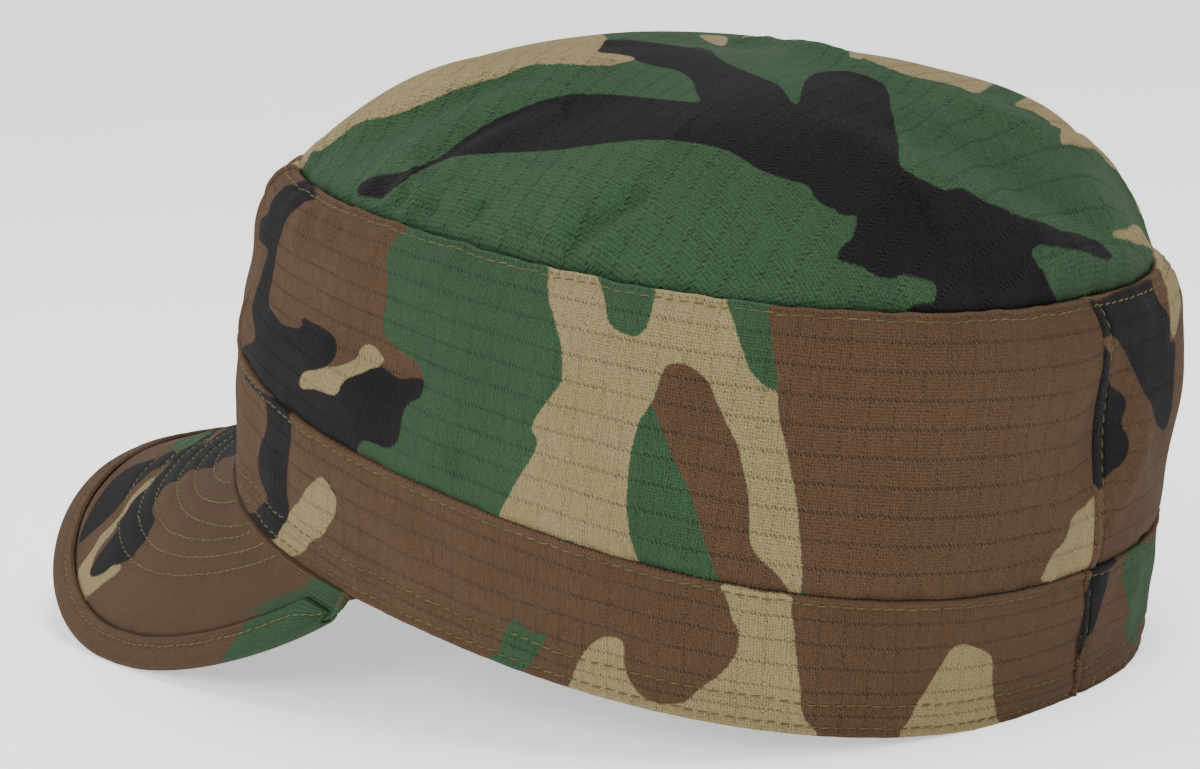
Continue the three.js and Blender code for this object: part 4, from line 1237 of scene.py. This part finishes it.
def printed_ripstop():
    material, tree, shader = new_material("printed_cotton_ripstop")
    place = node(tree, "Attribute", attribute_name="cloth").outputs["Vector"]
    split = node(tree, "SeparateXYZ", {0: place})
    fray = node(tree, "TexNoise", {"Vector": place, "Scale": FRAY_SCALE, "Detail": 2.0}).outputs[0]
    colour = INK_BROWN
    for ink, tint in (("green", INK_GREEN), ("tan", INK_TAN), ("black", INK_BLACK)):
        edge = node(tree, "Attribute", attribute_name=ink).outputs["Fac"]
        rough = node(tree, "Math", {0: fray, 1: FRAY, 2: edge}, operation="MULTIPLY_ADD").outputs[0]
        mask = node(tree, "MapRange", {"Value": rough, "From Min": FRAY / 2 + EDGE_SOFT,
                                       "From Max": FRAY / 2 - EDGE_SOFT}).outputs[0]
        colour = node(tree, "Mix", {0: mask, 6: colour, 7: tint}, data_type="RGBA").outputs[2]

    # A thicker thread every RIPSTOP, both ways, shows as a row of slanting dashes.
    dash = 0.0
    for axis, across, width, share in THICK_THREADS:
        phase = node(tree, "Math", {0: split.outputs[axis], 1: RIPSTOP / 2}, operation="PINGPONG")
        line = node(tree, "MapRange", {"Value": phase.outputs[0], "From Min": width,
                                       "From Max": 0.1, "To Max": share}).outputs[0]
        slant = node(tree, "Math", {0: split.outputs[axis], 1: DASH_SLANT, 2: split.outputs[across]},
                     operation="MULTIPLY_ADD").outputs[0]
        turn = node(tree, "Math", {0: slant, 1: 2 * math.pi / DASH}, operation="MULTIPLY").outputs[0]
        swing = node(tree, "Math", {0: turn}, operation="SINE").outputs[0]
        dash = node(tree, "Math", {0: line, 1: swing, 2: dash}, operation="MULTIPLY_ADD").outputs[0]

    # Cloth that is stretched over the visor's board shows little of the thicker threads.
    taut = node(tree, "Attribute", attribute_name="taut").outputs["Fac"]
    loose = node(tree, "Math", {0: 1.0, 1: taut}, operation="SUBTRACT").outputs[0]
    dash = node(tree, "Math", {0: dash, 1: loose}, operation="MULTIPLY").outputs[0]

    # The weave is two crossed waves, and slubs are thicker stretches of single threads.
    waves_of = []
    for axis in ("X", "Y"):
        turn = node(tree, "Math", {0: split.outputs[axis], 1: 2 * math.pi / THREAD},
                    operation="MULTIPLY").outputs[0]
        waves_of.append(node(tree, "Math", {0: turn}, operation="SINE").outputs[0])
    weave = node(tree, "Math", {0: waves_of[1], 1: WEAVE_BIAS}, operation="ADD").outputs[0]
    weave = node(tree, "Math", {0: waves_of[0], 1: weave}, operation="MULTIPLY").outputs[0]
    stretched = node(tree, "Mapping", {0: place, 3: SLUB_SCALE}).outputs[0]
    slub = node(tree, "TexNoise", {"Vector": stretched, "Scale": 1.0, "Detail": 2.0}).outputs[0]
    grain = node(tree, "TexNoise", {"Vector": place, "Scale": GRAIN_SCALE, "Detail": 3.0,
                                    "Roughness": 0.75}).outputs[0]
    soft = node(tree, "TexNoise", {"Vector": place, "Scale": PATCH_SCALE, "Detail": 4.0}).outputs[0]
    # Folded edges are lighter: partly wear, partly a painted highlight.
    edge_wear_and_highlight = node(tree, "Attribute", attribute_name="edge_wear_and_highlight").outputs["Fac"]
    tone = 1 - (GRAIN + SLUB + SOFT) / 2
    for layer, share in ((weave, WEAVE), (grain, GRAIN), (slub, SLUB), (soft, SOFT), (dash, DASHES),
                         (edge_wear_and_highlight, EDGE_WEAR_AND_HIGHLIGHT)):
        tone = node(tree, "Math", {0: layer, 1: share, 2: tone}, operation="MULTIPLY_ADD").outputs[0]

    # The tone darkens or lightens the printed face and the plain inside alike.
    printed = node(tree, "VectorMath", {0: colour, "Scale": tone}, operation="SCALE").outputs[0]
    inside = node(tree, "Attribute", attribute_name="inside").outputs["Fac"]
    plain = node(tree, "VectorMath", {0: INSIDE_CLOTH[:3], "Scale": tone},
                 operation="SCALE").outputs[0]
    face = node(tree, "Mix", {0: inside, 6: printed, 7: plain}, data_type="RGBA").outputs[2]
    tree.links.new(face, shader.inputs["Base Color"])
    height = 0.0
    for layer, share in ((weave, WEAVE_RISE), (slub, SLUB_RISE), (dash, DASH_RISE)):
        height = node(tree, "Math", {0: layer, 1: share, 2: height},
                      operation="MULTIPLY_ADD").outputs[0]
    relief = node(tree, "Bump", {"Strength": 1.0, "Distance": RELIEF, "Height": height})
    tree.links.new(relief.outputs[0], shader.inputs["Normal"])
    shader.inputs["Roughness"].default_value = 0.9
    shader.inputs["Specular IOR Level"].default_value = 0.08
    shader.inputs["Sheen Weight"].default_value = 0.02
    shader.inputs["Sheen Roughness"].default_value = 0.5
    return material


ripstop = printed_ripstop()
print("ripstop material has", len(ripstop.node_tree.nodes), "nodes")

# %% [markdown]
# ## From grid to mesh
#
# A wall of cloth is its outside grid, its inside grid and a strip that closes each edge. Every
# wall replaces its CAD node and rides on the cap's one body.

# %% Wall builder
# How much of the plain inside colour shows on unlined cloth, and how tight the visor's cloth is.
INSIDE_SHARE, TAUT = 0.6, 0.85


def build_wall(cloth, ring=False, pole=None):
    outer, inner = cloth.grid, cloth.inner
    rows, columns = outer.shape[:2]
    points = np.concatenate([outer.reshape(-1, 3), inner.reshape(-1, 3)])
    index = np.arange(rows * columns).reshape(rows, columns)
    over = np.concatenate([index, index[:, :1]], 1) if ring else index
    under = over + rows * columns
    outside = [over[:-1, :-1], over[:-1, 1:], over[1:, 1:], over[1:, :-1]]
    inside = [under[:-1, :-1], under[1:, :-1], under[1:, 1:], under[:-1, 1:]]
    quads = [np.stack(outside, -1).reshape(-1, 4), np.stack(inside, -1).reshape(-1, 4),
             np.stack([under[0, :-1], under[0, 1:], over[0, 1:], over[0, :-1]], -1)]
    faces = []
    if pole is None:
        quads.append(np.stack([over[-1, :-1], over[-1, 1:], under[-1, 1:], under[-1, :-1]], -1))
    else:
        tip = len(points)
        points = np.concatenate([points, pole])
        faces += [[a, b, tip] for a, b in zip(over[-1, :-1].tolist(), over[-1, 1:].tolist())]
        faces += [[b, a, tip + 1] for a, b in zip(under[-1, :-1].tolist(), under[-1, 1:].tolist())]
    if not ring:
        quads.append(np.stack([over[:-1, 0], over[1:, 0], under[1:, 0], under[:-1, 0]], -1))
        quads.append(np.stack([over[:-1, -1], under[:-1, -1], under[1:, -1], over[1:, -1]], -1))
    faces = np.concatenate(quads).tolist() + faces
    mesh = bpy.data.meshes.new(cloth.name)
    mesh.from_pydata((on_table(points) * MM).tolist(), [], faces)
    count, extra = rows * columns, len(points) - 2 * rows * columns

    def field(name, outside, within):
        values = np.concatenate([np.ravel(outside), np.broadcast_to(within, count), np.zeros(extra)])
        if extra:
            values[-2:] = [np.ravel(outside)[-1], values[2 * count - 1]]
        mesh.attributes.new(name, "FLOAT", "POINT").data.foreach_set("value", values.astype(np.float32))

    on_board = cloth in (visor, binding)
    for ink in INKS:
        field(ink, cloth.print[ink], cloth.print[ink])
    field("inside", np.zeros(count), 0.0 if on_board else INSIDE_SHARE)
    field("edge_wear_and_highlight", cloth.edge_wear_and_highlight, 0.0)
    field("taut", np.full(count, TAUT if on_board else 0.0), 0.0)
    place = np.concatenate([cloth.place.reshape(-1, 2), np.zeros((count, 1))], 1)
    place = np.concatenate([place, place, place[-1:].repeat(extra, 0)]).astype(np.float32)
    mesh.attributes.new("cloth", "FLOAT_VECTOR", "POINT").data.foreach_set("vector", place.ravel())
    mesh.shade_smooth()
    mesh.materials.append(ripstop)
    wall = add_object(cloth.name + "_cloth", mesh)
    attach(wall, "root")
    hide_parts(cloth.name)
    print(wall.name, len(mesh.polygons), "faces")


for cloth, slot in ((band, "band_cloth"), (left, "crown_cloth"), (right, "crown_cloth"),
                    (front, "crown_cloth"), (visor, "visor_cloth"), (binding, "visor_cloth")):
    build_wall(cloth)
pole = np.stack([top.grid[-1].mean(0), top.inner[-1].mean(0)])
build_wall(top, ring=True, pole=pole)

# %% [markdown]
# ## Stitches
#
# Every seam is topstitched in olive thread. A stitch is a short thread that dives into the
# cloth at both ends, so each one is a small bent tube laid in the furrow made for its row.
# All of them are joined in one mesh.

# %% Sewing helper
SEWN_POINTS, SEWN_FACES = [], []
# One stitch every so many millimetres, its length, the thread's radius, how high it lies and
# how deep its ends dive.
PITCH_OF_STITCH, STITCH, THREAD_RADIUS, THREAD_LIFT, DIVE = 2.6, 2.2, 0.16, 0.1, 0.3
# Twist of the thread across its row, and how much stitches differ in place and lean.
STITCH_SLANT, UNEVEN, UNEVEN_LEAN = 0.22, 0.12, 0.1
RINGS, SIDES = 6, 6


def sew(points, normals, seed):
    """Lay stitches along a path of points with the cloth's normals."""
    draw = np.random.default_rng(seed)
    length = travelled(points)
    starts = np.arange(0.5, length[-1] - STITCH, PITCH_OF_STITCH)
    starts = starts + draw.uniform(-UNEVEN, UNEVEN, len(starts))
    t = np.linspace(0, 1, RINGS)
    at = starts[:, None] + t * STITCH * draw.uniform(0.9, 1.08, (len(starts), 1))
    centre = np.stack([np.interp(at, length, points[:, i]) for i in range(3)], -1)
    normal = unit(np.stack([np.interp(at, length, normals[:, i]) for i in range(3)], -1))
    tangent = unit(np.gradient(centre, axis=1))
    side = unit(np.cross(normal, tangent))
    arch = 1 - (2 * t - 1) ** 4
    lean = draw.uniform(-UNEVEN_LEAN, UNEVEN_LEAN, (len(starts), 1)) + STITCH_SLANT * (t - 0.5)
    height = THREAD_LIFT + DIVE * (arch - 1)
    centre = centre + normal * height[None, :, None] + side * lean[..., None]
    radius = THREAD_RADIUS * (0.72 + 0.28 * arch)
    turn = np.arange(SIDES) * 2 * math.pi / SIDES
    ring = side[:, :, None] * np.cos(turn)[:, None] + normal[:, :, None] * np.sin(turn)[:, None]
    tube = centre[:, :, None] + ring * radius[None, :, None, None]
    base = sum(len(p) for p in SEWN_POINTS)
    SEWN_POINTS.append(tube.reshape(-1, 3))
    first = base + np.arange(len(starts)) * RINGS * SIDES
    row = np.arange(RINGS - 1)[:, None, None] * SIDES
    spot = np.arange(SIDES)
    after = (spot + 1) % SIDES
    corner = np.stack([spot, after, after + SIDES, spot + SIDES], -1)
    SEWN_FACES.extend((first[:, None, None, None] + row + corner).reshape(-1, 4).tolist())
    for place in first.tolist():
        SEWN_FACES.append([place + k for k in reversed(range(SIDES))])
        SEWN_FACES.append([place + (RINGS - 1) * SIDES + k for k in range(SIDES)])


def sew_row(cloth, height, seed):
    """Stitches along a grid at one height above its lower edge."""
    row = np.interp(height, cloth.v[:, 0], np.arange(len(cloth.v)))
    columns = np.linspace(0, 1, 900) * (cloth.u.shape[1] - 1)
    sew(*cloth.at(np.full(900, row), columns), seed)


def sew_column(cloth, place, seed, start, end):
    """Stitches up a grid at one length along its lower edge."""
    column = np.interp(place, cloth.u[0], np.arange(cloth.u.shape[1]))
    rows = np.linspace(start, end, 200) * (cloth.u.shape[0] - 1)
    sew(*cloth.at(rows, np.full(200, column)), seed)


for i, row in enumerate(BAND_ROWS):
    sew_row(band, row, 100 + i)
sew_row(band, band.v.max() - BAND_TOP_ROW, 104)
for i, wall in enumerate((left, right, front)):
    sew_row(wall, wall.v.max() - TOP_ROW, 110 + i)
for cloth, place, seed, start, end in (
        (right, LAP_ROW, 114, 0.02, 0.97), (left, LAP_ROW, 115, 0.02, 0.97),
        (right, right.u.max() - LAP_ROW, 118, 0.02, 0.97), (band, LAP_ROW, 116, 0.3, 0.97),
        (band, 3 * LAP_ROW, 117, 0.1, 0.28)):
    sew_column(cloth, place, seed, start, end)
for i, row in enumerate(VISOR_ROWS):
    edge, reach = visor_row(*row)
    column = np.interp(edge, visor.edge, np.arange(len(visor.edge)))
    share = reach / np.interp(edge, visor.edge, visor.end)
    sew(*visor.at(1 + share * VISOR_STEPS, column), 120 + i)
sew_row(binding, BINDING_ROW, 130)
print("stitches:", sum(len(p) for p in SEWN_POINTS) // (RINGS * SIDES))

# %% [markdown]
# The thread is a spun polyester core wrapped in cotton, dyed olive. It is a touch shinier than
# the cloth, and its twist shows as a fine slant.

# %% Olive thread
def olive_thread():
    material, tree, shader = new_material("olive_cotton_thread")
    place = node(tree, "TexCoord").outputs["Object"]
    tint = node(tree, "TexNoise", {"Vector": place, "Scale": 160.0, "Detail": 1.0}).outputs[0]
    mixed = node(tree, "Mix", {0: tint, 6: THREAD_BROWN, 7: THREAD_OLIVE}, data_type="RGBA")
    tree.links.new(mixed.outputs[2], shader.inputs["Base Color"])
    twist = node(tree, "TexNoise", {"Vector": place, "Scale": 2600.0}).outputs[0]
    relief = node(tree, "Bump", {"Strength": 0.4, "Distance": 0.0001, "Height": twist})
    tree.links.new(relief.outputs[0], shader.inputs["Normal"])
    shader.inputs["Roughness"].default_value = 0.7
    shader.inputs["Specular IOR Level"].default_value = 0.3
    return material


mesh = bpy.data.meshes.new("stitching")
sewn = on_table(np.concatenate(SEWN_POINTS)) * MM
mesh.from_pydata(sewn.tolist(), [], SEWN_FACES)
mesh.shade_smooth()
mesh.materials.append(olive_thread())
stitching = add_object("stitching", mesh)
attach(stitching, "root")
print("stitching:", len(mesh.polygons), "faces")

# %% [markdown]
# ## Floor and light
#
# The photograph is a product shot on white, lit softly from above and in front. A pale sheet
# of paper sweeps up behind the cap, and it glows a little so that it comes out nearly white.
# One large soft light hangs over the cap, a weaker one fills in from the camera's side, and
# the weakest lights the visor from its front.

# %% Stage
def make_floor():
    half, near, far, radius, tall, steps = 3.0, -2.5, 1.6, 0.7, 4.0, 16
    profile = [(near, 0), (far, 0)]
    for step in range(1, steps + 1):
        turn = math.radians(90) * step / steps
        profile.append((far + radius * math.sin(turn), radius * (1 - math.cos(turn))))
    profile.append((far + radius, tall))
    away = Vector(-turned(BACK)).to_2d().normalized()
    side = Vector((away.y, -away.x))
    points = [(away.x * d + side.x * s, away.y * d + side.y * s, z)
              for d, z in profile for s in (-half, half)]
    mesh = bpy.data.meshes.new("floor")
    faces = [(i, i + 1, i + 3, i + 2) for i in range(0, len(points) - 2, 2)]
    mesh.from_pydata(points, [], faces)
    mesh.shade_smooth()
    floor = add_object("floor", mesh)
    material, _, shader = new_material("matt_white_paper")
    shader.inputs["Base Color"].default_value = linear("#f8f8f6")
    shader.inputs["Roughness"].default_value = 0.95
    shader.inputs["Specular IOR Level"].default_value = 0.1
    shader.inputs["Emission Color"].default_value = linear("#ffffff")
    shader.inputs["Emission Strength"].default_value = 0.7
    mesh.materials.append(material)


LIGHT_AIM = Vector((0, 0, 0.06))


def soft_light(name, where, size, power):
    data = bpy.data.lights.new(name, "AREA")
    data.shape, data.size, data.size_y, data.energy = "RECTANGLE", size, size, power
    lamp = add_object(name, data)
    lamp.location = where
    lamp.rotation_mode = "QUATERNION"
    lamp.rotation_quaternion = (LIGHT_AIM - Vector(where)).to_track_quat("-Z", "Y")


make_floor()
soft_light("over_light", (-0.1, 0.35, 1.5), 0.8, 19)
soft_light("front_light", (1.3, 0.5, 0.8), 0.6, 15)
soft_light("visor_light", (0.7, -1.3, 0.5), 0.8, 10)
world = bpy.data.worlds.new("studio")
world.use_nodes = True
sky = world.node_tree.nodes["Background"]
sky.inputs["Color"].default_value = (1, 1, 1, 1)
sky.inputs["Strength"].default_value = 0.5
bpy.context.scene.world = world
